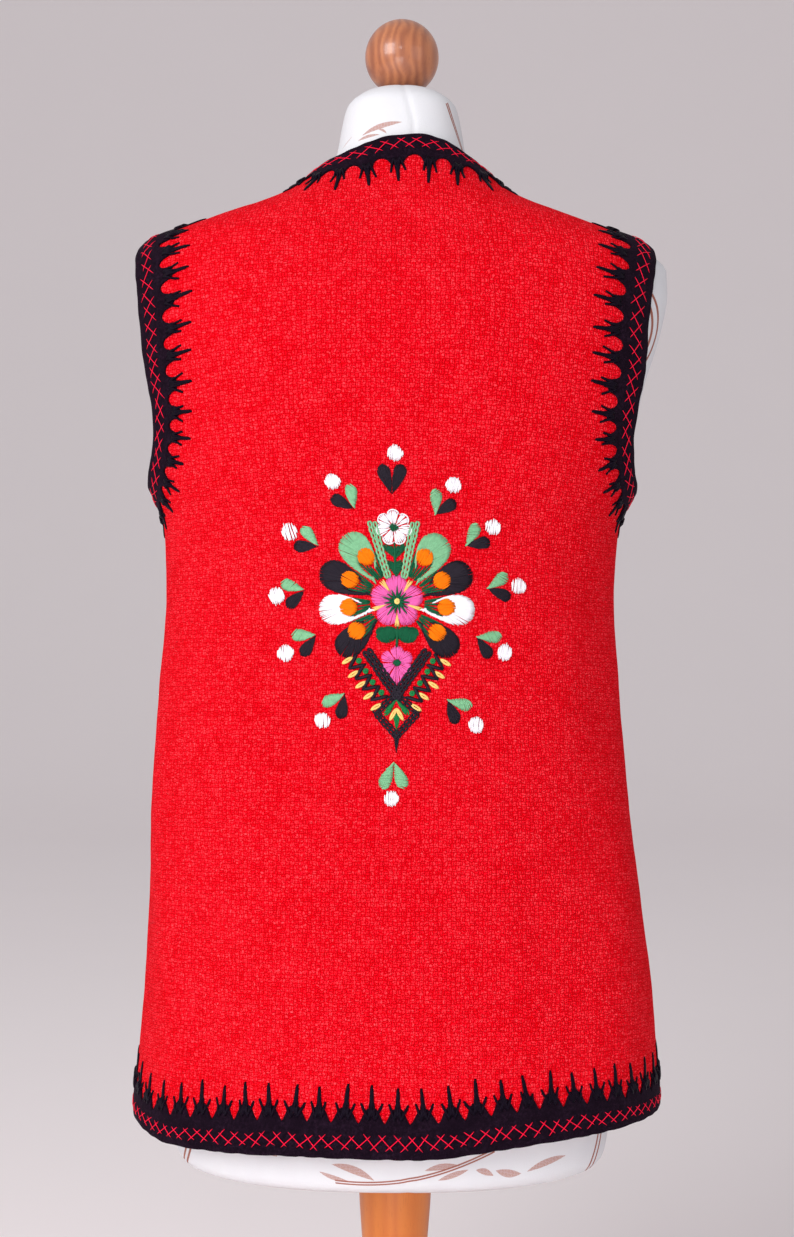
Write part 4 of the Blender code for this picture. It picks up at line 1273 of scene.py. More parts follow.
@dataclass
class ClothPanel:
    """A panel of the vest as a closed wall of cloth with a soft groove along its seams."""

    shape: VestShape
    finish: Material
    facet: float = 0.0045
    row_share: float = 0.87
    rim_clearance: float = 0.0009
    seam_rows: tuple[float, ...] = (0.0016, 0.0034)
    seam_groove: float = 0.0009
    seam_breadth: float = 0.0022

    @staticmethod
    def inside(flat: Array, outline: Array) -> Array:
        """Which chart places lie inside an outline.

        Args:
            flat: The places.
            outline: Points round the outline.

        Returns:
            Whether each one does.
        """
        result = np.zeros(len(flat), dtype=bool)
        for (u0, v0), (u1, v1) in zip(outline, np.roll(outline, -1, axis=0)):
            crosses = (v0 > flat[:, 1]) != (v1 > flat[:, 1])
            reach = u0 + (flat[:, 1] - v0) * (u1 - u0) / (v1 - v0 if v1 != v0 else 1.0)
            result ^= crosses & (flat[:, 0] < reach)
        return result

    @staticmethod
    def clear_of(flat: Array, outline: Array, distance: float) -> Array:
        """Which chart places keep a distance from an outline.

        Args:
            flat: The places.
            outline: Points round the outline.
            distance: The distance.

        Returns:
            Whether each one does.
        """
        result = np.ones(len(flat), dtype=bool)
        for first, second in zip(outline, np.roll(outline, -1, axis=0)):
            run = second - first
            share = np.clip((flat - first) @ run / max(run @ run, 1.0e-12), 0.0, 1.0)
            result &= np.linalg.norm(flat - first - share[:, None] * run, axis=1) > distance
        return result

    def spread(self, outline: Array, seams: Sequence[Array]) -> Array:
        """Places inside an outline: rows beside the seams and an even spread elsewhere.

        Args:
            outline: The panel's outline in the chart.
            seams: Lines of points along its seams.

        Returns:
            The places.
        """
        low, high = outline.min(axis=0), outline.max(axis=0)
        rows = np.arange(low[1], high[1], self.row_share * self.facet)
        lines = []
        for i, level in enumerate(rows):
            across = np.arange(low[0] + 0.5 * self.facet * (i % 2), high[0], self.facet)
            lines.append(np.stack([across, np.full(len(across), level)], 1))
        places = np.concatenate(lines)
        places = places[self.inside(places, outline)]
        places = places[self.clear_of(places, outline, 0.5 * self.facet)]
        beside = []
        for seam in seams:
            inward = -np.sign(seam[:, 0:1]) * np.array([[1.0, 0.0]])
            beside += [seam + inward * step for step in self.seam_rows]
            distance = np.abs(places[:, 0] - np.interp(places[:, 1], seam[:, 1], seam[:, 0]))
            within = (places[:, 1] > seam[0, 1]) & (places[:, 1] < seam[-1, 1])
            places = places[~(within & (distance < self.seam_rows[-1] + 0.4 * self.facet))]
        extra = np.concatenate(beside)
        extra = extra[self.inside(extra, outline)]
        extra = extra[self.clear_of(extra, outline, self.rim_clearance)]
        return np.concatenate([places, extra])

    @staticmethod
    def lay_flat(points: Array, triangles: Sequence[Sequence[int]]) -> Array:
        """Lay an open skin flat, true to size and with its middle line upright.

        Args:
            points: The skin's points.
            triangles: Its triangles.

        Returns:
            A flat place in metres for each point.
        """
        mesh = bpy.data.meshes.new("skin")
        mesh.from_pydata(points.tolist(), [], triangles)
        mesh.uv_layers.new(name="cloth")
        thing = bpy.data.objects.new("skin", mesh)
        bpy.context.scene.collection.objects.link(thing)
        bpy.context.view_layer.objects.active = thing
        for other in bpy.context.selected_objects:
            other.select_set(False)
        thing.select_set(True)
        bpy.ops.object.mode_set(mode="EDIT")
        bpy.ops.mesh.select_all(action="SELECT")
        bpy.ops.uv.unwrap(method="CONFORMAL", margin=0.0)
        bpy.ops.object.mode_set(mode="OBJECT")
        places = np.zeros(2 * len(mesh.loops))
        mesh.uv_layers["cloth"].data.foreach_get("uv", places)
        corners = np.zeros(len(mesh.loops), dtype=int)
        mesh.loops.foreach_get("vertex_index", corners)
        flat = np.zeros((len(points), 2))
        flat[corners] = places.reshape(-1, 2)
        bpy.data.objects.remove(thing)
        bpy.data.meshes.remove(mesh)
        ends = np.array([(face[0], face[1]) for face in triangles])
        real = np.linalg.norm(points[ends[:, 0]] - points[ends[:, 1]], axis=1).sum()
        drawn = np.linalg.norm(flat[ends[:, 0]] - flat[ends[:, 1]], axis=1).sum()
        near = np.argsort(np.abs(points[:, 0] - np.median(points[:, 0])))[:max(40, len(points) // 60)]
        foot, top = near[np.argmin(points[near, 2])], near[np.argmax(points[near, 2])]
        run = flat[top] - flat[foot]
        lean = math.atan2(run[0], run[1])
        turn = np.array([[math.cos(lean), -math.sin(lean)], [math.sin(lean), math.cos(lean)]])
        return (flat - flat[foot]) @ turn.T * (real / drawn)

    def build(self, name: str, outline: Array, seams: Sequence[Array],
              seam_side: int) -> Thing:
        """Make the panel.

        Args:
            name: The piece's name.
            outline: Points round the panel, on the plain form.
            seams: Points along its seams, from the lowest up.
            seam_side: 1 where the panel lies in front of its seams, -1 behind.

        Returns:
            The panel.
        """
        ring = self.shape.to_chart(outline)
        area = np.sum(ring[:, 0] * np.roll(ring[:, 1], -1) - np.roll(ring[:, 0], -1) * ring[:, 1])
        ring = ring if area > 0.0 else ring[::-1]
        inner = self.spread(ring, [self.shape.to_chart(seam) for seam in seams])
        places = [tuple(place) for place in np.concatenate([inner, ring])]
        polygon = [list(range(len(inner), len(places)))]
        result = delaunay_2d_cdt(places, [], polygon, 1, 1.0e-6)
        base = self.shape.from_chart(np.array([tuple(place) for place in result[0]]))
        base[np.abs(base[:, 1]) < 3.0e-4, 1] = 0.0
        triangles = np.array([tuple(face) for face in result[2]])
        groove = -self.seam_groove * np.exp(-(base[:, 1] / self.seam_breadth) ** 2)
        on_seam = np.abs(base[:, 1]) < 1.0e-6
        skins = []
        for offset in (0.0, -WALL):
            points = self.shape.skin(base, groove + offset)
            points[on_seam, 1] = seam_side * 0.5 * GAP
            skins.append(points)
        used = np.unique(triangles)
        index = np.zeros(len(base), dtype=int)
        index[used] = np.arange(len(used))
        triangles = index[triangles]
        outer, under = skins[0][used], skins[1][used]
        flat = self.lay_flat(outer, triangles.tolist())
        count = len(used)
        sides: dict[tuple[int, int], bool] = {}
        for a, b, c in triangles.tolist():
            for first, second in ((a, b), (b, c), (c, a)):
                if sides.pop((second, first), None) is None:
                    sides[(first, second)] = True
        rim = np.array([(b, a, a + count, b + count) for a, b in sides])
        parts = MeshParts()
        parts.add(np.concatenate([outer, under]), [triangles, triangles[:, ::-1] + count, rim],
                  np.concatenate([flat, flat]))
        return parts.build(name, self.finish)


class ToothCut(Enum):
    """How the felt's teeth are cut."""

    SAW = "saw"
    SCALLOP = "scallop"

    def height(self, share: Array) -> Array:
        """A tooth's height, from 0 in the valleys at 0 and 1 to 1 at its tip.

        Args:
            share: Places across the tooth.

        Returns:
            Shares of the tooth's height.
        """
        near = 1.0 - np.abs(2.0 * share - 1.0)
        if self is ToothCut.SAW:
            return np.interp(near, (0.0, 0.12, 0.43, 0.64, 1.0), (0.0, 0.12, 0.68, 0.93, 1.0))
        lobe = 1.0 - np.sqrt(np.maximum(1.0 - (near / 0.56) ** 2, 0.0))
        return np.where(near < 0.56, 0.82 * lobe, 0.82 + 0.18 * ease((near - 0.56) / 0.44))


@dataclass(frozen=True)
class TrimStyle:
    """A felt trim's sizes, and those of the stitches along it.

    Depths are measured from the edge, and the pitch halfway out along the spikes. A tooth carries a tall
    spike and two whiskers, which start at the whisker's foot to either side of its middle. The gains deepen
    the whole trim towards its start or end, or narrow it beside a seam.
    """

    valley: float
    tooth: float
    pitch: float
    cut: ToothCut
    spike: float
    whisker_root: float
    whisker_foot: float
    whisker: float
    whisker_spread: float
    cross_depth: float
    cross_height: float = 0.0098
    cross_pitch: float = 0.0106
    cross_overlap: float = 0.0042
    start_gain: float = 1.0
    end_gain: float = 1.0
    seam_gain: float = 1.0


NECK_STYLE = TrimStyle(
    valley=0.0178, tooth=0.0082, pitch=0.0232, cut=ToothCut.SCALLOP, spike=0.0408, whisker_root=0.0222,
    whisker_foot=0.0034, whisker=0.0318, whisker_spread=0.0060, cross_depth=0.0084, cross_height=0.0078,
    cross_pitch=0.0120, cross_overlap=0.0064)
ARMHOLE_STYLE = TrimStyle(
    valley=0.0215, tooth=0.0105, pitch=0.0208, cut=ToothCut.SCALLOP, spike=0.0440, whisker_root=0.0275,
    whisker_foot=0.0030, whisker=0.0362, whisker_spread=0.0054, cross_depth=0.0116, cross_height=0.0098,
    cross_pitch=0.0114, cross_overlap=0.0068, start_gain=1.19, end_gain=0.85)
HEM_STYLE = TrimStyle(
    valley=0.0248, tooth=0.0110, pitch=0.0180, cut=ToothCut.SAW, spike=0.0498, whisker_root=0.0300,
    whisker_foot=0.0030, whisker=0.0388, whisker_spread=0.0066, cross_depth=0.0118, cross_overlap=0.0052,
    seam_gain=0.68)
FRONT_STYLE = TrimStyle(
    valley=0.0220, tooth=0.0100, pitch=0.0200, cut=ToothCut.SAW, spike=0.0450, whisker_root=0.0270,
    whisker_foot=0.0032, whisker=0.0360, whisker_spread=0.0068, cross_depth=0.0105)


class Strand(NamedTuple):
    """One strand of a spike: how far aside it starts and ends, its root, its length and half its width."""

    aside_root: float
    aside_tip: float
    root: float
    share: float
    half: float


SPIKE_STRANDS = tuple(Strand(*row) for row in (
    (0.0, 0.0, 0.0, 1.0, 0.00096), (-0.00120, -0.00045, -0.0010, 0.94, 0.00088),
    (0.00120, 0.00045, -0.0006, 0.88, 0.00088), (-0.00215, -0.00120, -0.0010, 0.42, 0.00086),
    (0.00215, 0.00120, -0.0014, 0.46, 0.00086),
))


class TrimRun:
    """One stretch of felt trim along an edge, with its herringbone and the spikes on its teeth."""

    ALONG = 0.0013
    BEAD = 0.5 * (GAP + FELT + WALL)
    BEAD_LEVEL = 0.5 * (GAP + FELT - WALL)
    BEAD_TURNS = np.radians([66.0, 42.0, 18.0, -6.0, -30.0, -58.0, -90.0])
    BEAD_WAVE = 0.00035
    TURNED = 0.0045
    RIM_STEPS = ((1.0, 0.0), (1.0, 0.45), (0.93, 0.85), (0.80, 1.0), (0.5, 1.0), (0.2, 1.0))
    TOP_STEPS = (0.95, 0.65, 0.35, 0.12)
    UNDER_STEPS = (0.05, 0.5, 0.95)
    SAMPLES = 1200
    PITCH_UNEVEN = 0.05
    CROSS_HALF, CROSS_ABOVE = 0.00036, 0.00042
    CROSS_UNEVEN = (0.0006, 0.075)
    SPIKE_LEAN, SPIKE_GROWTH, SPIKE_ABOVE = 0.0010, 0.0011, 0.00055
    WHISKER_HALF, WHISKER_ABOVE, WHISKER_UNEVEN = 0.00096, 0.00048, 0.0008
    GAIN_FROM, GAIN_SPAN = 0.35, 0.5
    SEAM_REACH = 0.200
    CROWDED = 0.090
    CROWDING = 0.80

    def __init__(self, band: EdgeBand, style: TrimStyle, seed: int, start: float = 0.0,
                 end: float | None = None, plain_start: float = 0.0, plain_end: float = 0.0,
                 seam_start: bool = False, seam_end: bool = False, seam_side: int = -1) -> None:
        """Set out the teeth.

        Args:
            band: The cloth beside the edge.
            style: The trim's sizes.
            seed: Number that its unevenness grows from.
            start: Where it begins along the edge.
            end: Where it ends, or None for the edge's own end.
            plain_start: Stretch without teeth after its start.
            plain_end: Stretch without teeth before its end.
            seam_start: Whether its start lies on a seam.
            seam_end: Whether its end lies on a seam.
            seam_side: 1 in front of the seam, -1 behind.
        """
        self.band, self.style, self.seam_side = band, style, seam_side
        self.start, self.end = start, band.length if end is None else end
        self.seam_start, self.seam_end = seam_start, seam_end
        self.random = np.random.default_rng(seed)
        first, last = self.start + plain_start, self.end - plain_end
        ways = np.linspace(first, last, 240)
        spots = band.at(ways, np.full(len(ways), 0.5 * (style.valley + style.tooth + style.spike)))
        run = run_along(spots)
        teeth = max(1, round(run[-1] / style.pitch))
        self.marks = np.interp(np.linspace(0.0, run[-1], teeth + 1), run, ways)
        uneven = self.random.uniform(-self.PITCH_UNEVEN, self.PITCH_UNEVEN, teeth - 1)
        self.marks[1:-1] += uneven * np.diff(self.marks)[1:]

    def gains(self, places: Array) -> tuple[Array, Array]:
        """How many times their style's sizes the plain band and what lies beyond it have.

        Args:
            places: Ways along the edge.

        Returns:
            The gains of the band and of what lies beyond it.
        """
        style, whole = self.style, self.end - self.start
        change = ease(((places - self.start) / whole - self.GAIN_FROM) / self.GAIN_SPAN)
        along = style.start_gain + (style.end_gain - style.start_gain) * change
        beside = np.minimum(places - self.start if self.seam_start else whole,
                            self.end - places if self.seam_end else whole)
        narrowing = 1.0 - style.seam_gain
        band = along * (1.0 - narrowing * (1.0 - ease(beside / self.SEAM_REACH)))
        beyond = along * (1.0 + self.CROWDING * narrowing * (1.0 - ease(beside / self.CROWDED)))
        return band, beyond

    def reach(self, places: Array) -> Array:
        """The felt's depth at places along the edge.

        Args:
            places: Ways along the edge.

        Returns:
            One depth for each.
        """
        i = np.clip(np.searchsorted(self.marks, places) - 1, 0, len(self.marks) - 2)
        share = (places - self.marks[i]) / (self.marks[i + 1] - self.marks[i])
        toothed = (share >= 0.0) & (share <= 1.0)
        height = np.where(toothed, self.style.cut.height(np.clip(share, 0.0, 1.0)), 0.0)
        band, beyond = self.gains(places)
        return band * self.style.valley + beyond * self.style.tooth * height

    @property
    def strip_depth(self) -> float:
        """Depth of the strip that the felt is cut from, with what is turned over the edge."""
        return float(self.reach(np.linspace(self.start, self.end, self.SAMPLES)).max()) + self.TURNED

    def flat_area(self) -> float:
        """The felt's area when it is flat."""
        places = np.linspace(self.start, self.end, self.SAMPLES)
        return (self.end - self.start) * float(np.mean(self.reach(places) + self.TURNED))

    def felt(self, parts: MeshParts) -> None:
        """Add the felt: a strip that lies on the cloth and is rolled over its edge.

        Args:
            parts: The piece that it joins.
        """
        count = max(2, round((self.end - self.start) / self.ALONG))
        places = np.unique(np.concatenate([np.linspace(self.start, self.end, count), self.marks,
                                           0.5 * (self.marks[1:] + self.marks[:-1])]))
        places = places[np.concatenate([[True], np.diff(places) > 1.0e-4])]
        places[-1] = self.end
        depth = self.reach(places)
        wave = self.BEAD_WAVE * np.sin(places / 0.0031 + 1.7 * np.sin(places / 0.011))
        steady = self.gains(places)[0] * self.style.valley - 0.0025
        columns: list[tuple[Array, float]] = []
        for share, rise in self.RIM_STEPS:
            columns.append((steady + share * (depth - steady), GAP + rise * FELT))
        for share in self.TOP_STEPS:
            columns.append((self.BEAD + share * (steady - self.BEAD), GAP + FELT))
        for turn in self.BEAD_TURNS:
            columns.append((self.BEAD * (1.0 - math.cos(turn)) + wave * math.cos(turn),
                            self.BEAD_LEVEL + self.BEAD * math.sin(turn)))
        columns.append((np.full(len(places), self.BEAD + 1.0e-4), -0.5 * WALL))
        for share in self.UNDER_STEPS:
            columns.append((self.BEAD + share * (steady - self.BEAD), GAP))
        columns.append((steady + 0.5 * (depth - steady), GAP))
        depths = np.stack([column[0] for column in columns], 1)
        offsets = np.repeat(np.array([column[1] for column in columns])[None, :], len(places), 0)
        along = np.repeat(places[:, None], depths.shape[1], 1)
        base = self.band.at(along.ravel(), depths.ravel())
        rows = base.reshape(len(places), -1, 3)
        if self.seam_start:
            rows[0, :, 1] = 0.0
        if self.seam_end:
            rows[-1, :, 1] = 0.0
        uneven = 1.0e-4 * np.sin(along.ravel() / 0.0043 + depths.ravel() / 0.0029)
        points = self.band.shape.skin(rows.reshape(-1, 3), offsets.ravel() + uneven * (offsets.ravel() > GAP))
        points = points.reshape(rows.shape)
        if self.seam_start:
            points[0, :, 1] = self.seam_side * 0.5 * GAP
        if self.seam_end:
            points[-1, :, 1] = self.seam_side * 0.5 * GAP
        parts.add(points.reshape(-1, 3), ring_faces(len(places), depths.shape[1]),
                  np.stack([along.ravel(), depths.ravel()], 1))

    def sew(self, work: ThreadWork, places: Array, depths: Array, half_width: Array,
            above: float) -> None:
        """Sew stitches that lie on the felt where there is felt, and on the cloth beyond it.

        Args:
            work: The thread's gathered stitches.
            places: Ways along the edge, by stitch and station.
            depths: Depths from the edge, before the trim's gain.
            half_width: Half the thread's width.
            above: How far the thread's middle stands above what it lies on.
        """
        band, beyond = self.gains(places)
        tall = np.maximum(depths - self.style.valley, 0.0)
        depths = band * (depths - tall) + beyond * tall
        on_felt = ease((self.reach(places.ravel()) - depths.ravel()) / 0.0012 + 0.5).reshape(places.shape)
        share = np.linspace(0.0, 1.0, places.shape[1])
        arch = np.minimum(1.0, 7.0 * share * (1.0 - share) + 0.1)
        offset = (GAP + FELT) * on_felt + above * arch
        base = self.band.at(places.ravel(), depths.ravel()).reshape(*places.shape, 3)
        work.sew(base, offset, half_width)

    def herringbone(self, work: ThreadWork) -> None:
        """Sew crossing slants along the felt, each end reaching past the crossing.

        Args:
            work: The thread's gathered stitches.
        """
        style = self.style
        length = self.end - self.start
        count = max(1, round(length / style.cross_pitch))
        pitch = length / count
        starts, ends = [], []
        for i in range(count):
            left = self.start + (i + 0.02) * pitch
            starts.append((left - 0.5 * style.cross_overlap, -0.5))
            ends.append((left + 0.5 * pitch + 0.5 * style.cross_overlap, 0.5))
            starts.append((left + 0.5 * pitch - 0.5 * style.cross_overlap, 0.5))
            ends.append((left + pitch + 0.5 * style.cross_overlap, -0.5))
        first, last = np.array(starts), np.array(ends)
        first += self.random.normal(0.0, 1.0, first.shape) * self.CROSS_UNEVEN
        last += self.random.normal(0.0, 1.0, last.shape) * self.CROSS_UNEVEN
        share = np.linspace(0.0, 1.0, 7)
        path = between(first, last, share)
        places = np.clip(path[..., 0], self.start, self.end)
        depths = style.cross_depth + path[..., 1] * style.cross_height
        width = np.full(places.shape, self.CROSS_HALF)
        width[:, (0, -1)] *= 0.55
        self.sew(work, places, depths, width, self.CROSS_ABOVE)

    def spikes(self, work: ThreadWork) -> None:
        """Sew a tall spike and two slanting whiskers on every tooth.

        Args:
            work: The thread's gathered stitches.
        """
        style = self.style
        middles = 0.5 * (self.marks[1:] + self.marks[:-1])
        spans = np.minimum(np.diff(self.marks) / style.pitch, 1.15)
        lean = self.random.normal(0.0, self.SPIKE_LEAN, len(middles))
        grow = self.random.normal(0.0, self.SPIKE_GROWTH, len(middles))
        share = np.linspace(0.0, 1.0, 9)[None, :]
        foot = style.valley + 0.45 * style.tooth
        for strand in SPIKE_STRANDS:
            root = foot + strand.root
            reach = (style.spike + grow - root) * strand.share
            aside = strand.aside_root + (strand.aside_tip - strand.aside_root) * share
            places = middles[:, None] + spans[:, None] * (aside + lean[:, None] * share * strand.share)
            depths = root + reach[:, None] * share
            width = np.repeat(strand.half * (1.04 - 0.14 * share), len(middles), 0)
            self.sew(work, np.clip(places, self.start, self.end), depths, width, self.SPIKE_ABOVE)
        for sign in (-1.0, 1.0):
            wobble = self.random.normal(0.0, self.WHISKER_UNEVEN, (2, len(middles)))
            for strand in (0.0, 1.0):
                root = style.whisker_root - 0.0024 * strand
                spread = (style.whisker_spread - 0.0006 * strand) * spans + wobble[0]
                tip = style.whisker + wobble[1] - 0.0022 * strand
                start = sign * (style.whisker_foot - 0.0012 * strand) * spans[:, None]
                places = middles[:, None] + start + (sign * spread[:, None] - start) * share
                depths = root + (tip[:, None] - root) * share
                width = np.repeat(self.WHISKER_HALF * (1.04 - 0.14 * share), len(middles), 0)
                self.sew(work, np.clip(places, self.start, self.end), depths, width, self.WHISKER_ABOVE)


@dataclass
class VestBuilder:
    """Cuts the panels, lays the trims on them and sews both."""

    cut: VestCut
    record: Record
    wool: Material
    felt: Material
    inset: float = TrimRun.BEAD + 0.0002  # under the felt's roll
    outline_step: float = 0.0040
    neck_plain: float = 0.0040
    corner_plain: float = 0.0115
    runs: list[TrimRun] = field(default_factory=list)

    def edge_line(self, band: EdgeBand, start: float = 0.0, end: float | None = None) -> Array:
        """Points along an edge, drawn back under the felt's roll.

        Args:
            band: The cloth beside the edge.
            start: Where they begin.
            end: Where they end, or None for the edge's own end.

        Returns:
            The points.
        """
        last = band.length if end is None else end
        count = max(2, round((last - start) / self.outline_step))
        places = np.linspace(start, last, count + 1)
        return band.at(places, np.full(len(places), self.inset))

    def seam_line(self, high: float, low: float, side: int) -> Array:
        """Points down a seam between two heights of the chart, without its ends."""
        count = max(2, round((high - low) / self.outline_step))
        return self.cut.seam(np.linspace(high, low, count + 1)[1:-1], side)

    def height(self, point: Array) -> float:
        """The chart's height of one point."""
        return float(self.cut.shape.chart_height(np.atleast_2d(point))[0])

    def back(self) -> None:
        """Build the back panel and its trims."""
        cut, shape = self.cut, self.cut.shape
        bands = {
            "neck": EdgeBand(shape, cut.back_neck, -1),
            Side.RIGHT: EdgeBand(shape, lambda t: cut.armhole(t, 1, -cut.armhole_back_reach), -1),
            Side.LEFT: EdgeBand(shape, lambda t: cut.armhole(t, -1, -cut.armhole_back_reach), 1),
            "hem": EdgeBand(shape, lambda t: cut.hem(-QUARTER, QUARTER, t), 1),
        }
        hem, neck = self.edge_line(bands["hem"]), self.edge_line(bands["neck"])
        right, left = self.edge_line(bands[Side.RIGHT]), self.edge_line(bands[Side.LEFT])
        for line in (hem, neck, right, left):
            line[(0, -1), 1] = 0.0
        sides = {}
        for side, arm, hem_end, neck_end in ((1, right, hem[-1], neck[-1]), (-1, left, hem[0], neck[0])):
            under = self.seam_line(self.height(arm[-1]), self.height(hem_end), side)
            shoulder = self.seam_line(self.height(neck_end), self.height(arm[0]), side)
            sides[side] = (under, shoulder)
        outline = np.concatenate([hem, sides[1][0][::-1], right[::-1], sides[1][1][::-1], neck[::-1],
                                  sides[-1][1], left, sides[-1][0]])
        seams = [line[::-1] for side in (1, -1) for line in sides[side]]
        panel = ClothPanel(shape, self.wool).build("back_panel", outline, seams, -1)
        self.record.piece(panel, "red_wool", ["vest_back"])
        for key, style, node, seed in (("neck", NECK_STYLE, "trim_neck_back", 11),
                                       (Side.RIGHT, ARMHOLE_STYLE, "trim_armhole_back_right", 12),
                                       (Side.LEFT, ARMHOLE_STYLE, "trim_armhole_back_left", 13),
                                       ("hem", HEM_STYLE, "trim_hem_back", 14)):
            run = TrimRun(bands[key], style, seed, plain_start=self.neck_plain if key == "neck" else 0.0,
                          seam_start=True, seam_end=True, seam_side=-1)
            self.trim(node, [run], panel)

    def trim(self, node: str, runs: Sequence[TrimRun], panel: Thing) -> None:
        """Build a felt trim of one or more runs.

        Args:
            node: The node that it stands for.
            runs: Its stretches.
            panel: Not used.
        """
        parts = MeshParts()
        for run in runs:
            run.felt(parts)
            self.runs.append(run)
        thing = self.record.piece(parts.build(node.replace("trim", "felt"), self.felt), "black_felt", [node])
        length, depth = sum(run.end - run.start for run in runs), max(run.strip_depth for run in runs)
        round(sum(run.flat_area() for run in runs), 5)

    def front(self, side: Side) -> None:
        """Build one front panel and its trims.

        Args:
            side: Which front.
        """
        cut, shape, sign = self.cut, self.cut.shape, side.value
        hem_reach = float(shape.front(HEM_LINE[0].z))
        hem_last = sign * (math.pi - 0.5 * FRONT_PARTING / hem_reach)
        corner = cut.front_neck(np.array([1.0]), sign)[0]
        foot = cut.hem(sign * QUARTER, hem_last, np.array([1.0]))[0]
        top_height, foot_height = self.height(corner), self.height(foot)
        neck = EdgeBand(shape, lambda t: cut.front_neck(t, sign), -sign)
        arm = EdgeBand(shape, lambda t: cut.armhole(t, sign, cut.armhole_front_reach), sign)
        hem = EdgeBand(shape, lambda t: cut.hem(sign * QUARTER, hem_last, t), sign)
        front = EdgeBand(shape, lambda t: cut.front(top_height + t * (foot_height - top_height), sign), -sign)
        hem_end = hem.length - FRONT_STYLE.valley - GAP
        neck_drop = NECK_STYLE.valley + GAP
        inset = self.inset
        lines = {
            "neck": self.edge_line(neck, 0.0, neck.length - inset),
            "arm": self.edge_line(arm),
            "hem": self.edge_line(hem, 0.0, hem.length - inset),
            "front": self.edge_line(front, inset, front.length - inset),
        }
        for key in ("neck", "hem"):
            lines[key][0, 1] = 0.0
        lines["arm"][(0, -1), 1] = 0.0
        under = self.seam_line(self.height(lines["arm"][-1]), self.height(lines["hem"][0]), sign)
        shoulder = self.seam_line(self.height(lines["neck"][0]), self.height(lines["arm"][0]), sign)
        outline = np.concatenate([lines["hem"], lines["front"][-2:0:-1], lines["neck"][::-1], shoulder,
                                  lines["arm"], under])
        panel = ClothPanel(shape, self.wool).build("front_panel_" + side.word, outline,
                                                   [under[::-1], shoulder[::-1]], 1)
        self.record.piece(panel, "red_wool", ["vest_front_" + side.word])
        seed = 30 if side is Side.RIGHT else 40
        edge_runs = [
            TrimRun(neck, NECK_STYLE, seed, plain_end=FRONT_STYLE.valley + self.corner_plain, seam_start=True,
                    seam_side=1),
            TrimRun(front, FRONT_STYLE, seed + 1, start=neck_drop, plain_start=self.corner_plain,
                    plain_end=HEM_STYLE.valley + self.corner_plain),
        ]
        hem_run = TrimRun(hem, HEM_STYLE, seed + 2, end=hem_end, plain_end=self.corner_plain, seam_start=True,
                          seam_side=1)
        arm_run = TrimRun(arm, ARMHOLE_STYLE, seed + 3, seam_start=True, seam_end=True, seam_side=1)
        self.trim("trim_edge_front_" + side.word, edge_runs, panel)
        self.trim("trim_armhole_front_" + side.word, [arm_run], panel)
        self.trim("trim_hem_front_" + side.word, [hem_run], panel)

    def stitching(self) -> None:
        """Sew the herringbone and the spikes along every trim."""
        shape = self.cut.shape
        crosses, spikes = ThreadWork(shape), ThreadWork(shape)
        for run in self.runs:
            run.herringbone(crosses)
            run.spikes(spikes)
        self.record.piece(crosses.build("herringbone_stitches", Threads.RED.value.material()), "red_wool")
        self.record.piece(spikes.build("spike_stitches", Threads.JET.value.material()), "black_felt")


# ------------------------------------------------------------------ embroidery on the back
class Way(NamedTuple):
    """A straight way on the back: its start, its direction, the direction to its left and its length."""

    start: Array
    axis: Array
    across: Array
    length: float

    @classmethod
    def join(cls, start: Spot, end: Spot) -> Way:
        """The way from one place to another.

        Args:
            start: Where it starts.
            end: Where it ends.

        Returns:
            The way.
        """
        run = np.array(end) - np.array(start)
        length = float(np.linalg.norm(run))
        axis = run / length
        return cls(np.array(start), axis, np.array([-axis[1], axis[0]]), length)

    def at(self, along: Array, aside: Array) -> Array:
        """Places from lengths along the way and to its left."""
        return self.start + along[..., None] * self.axis + aside[..., None] * self.across


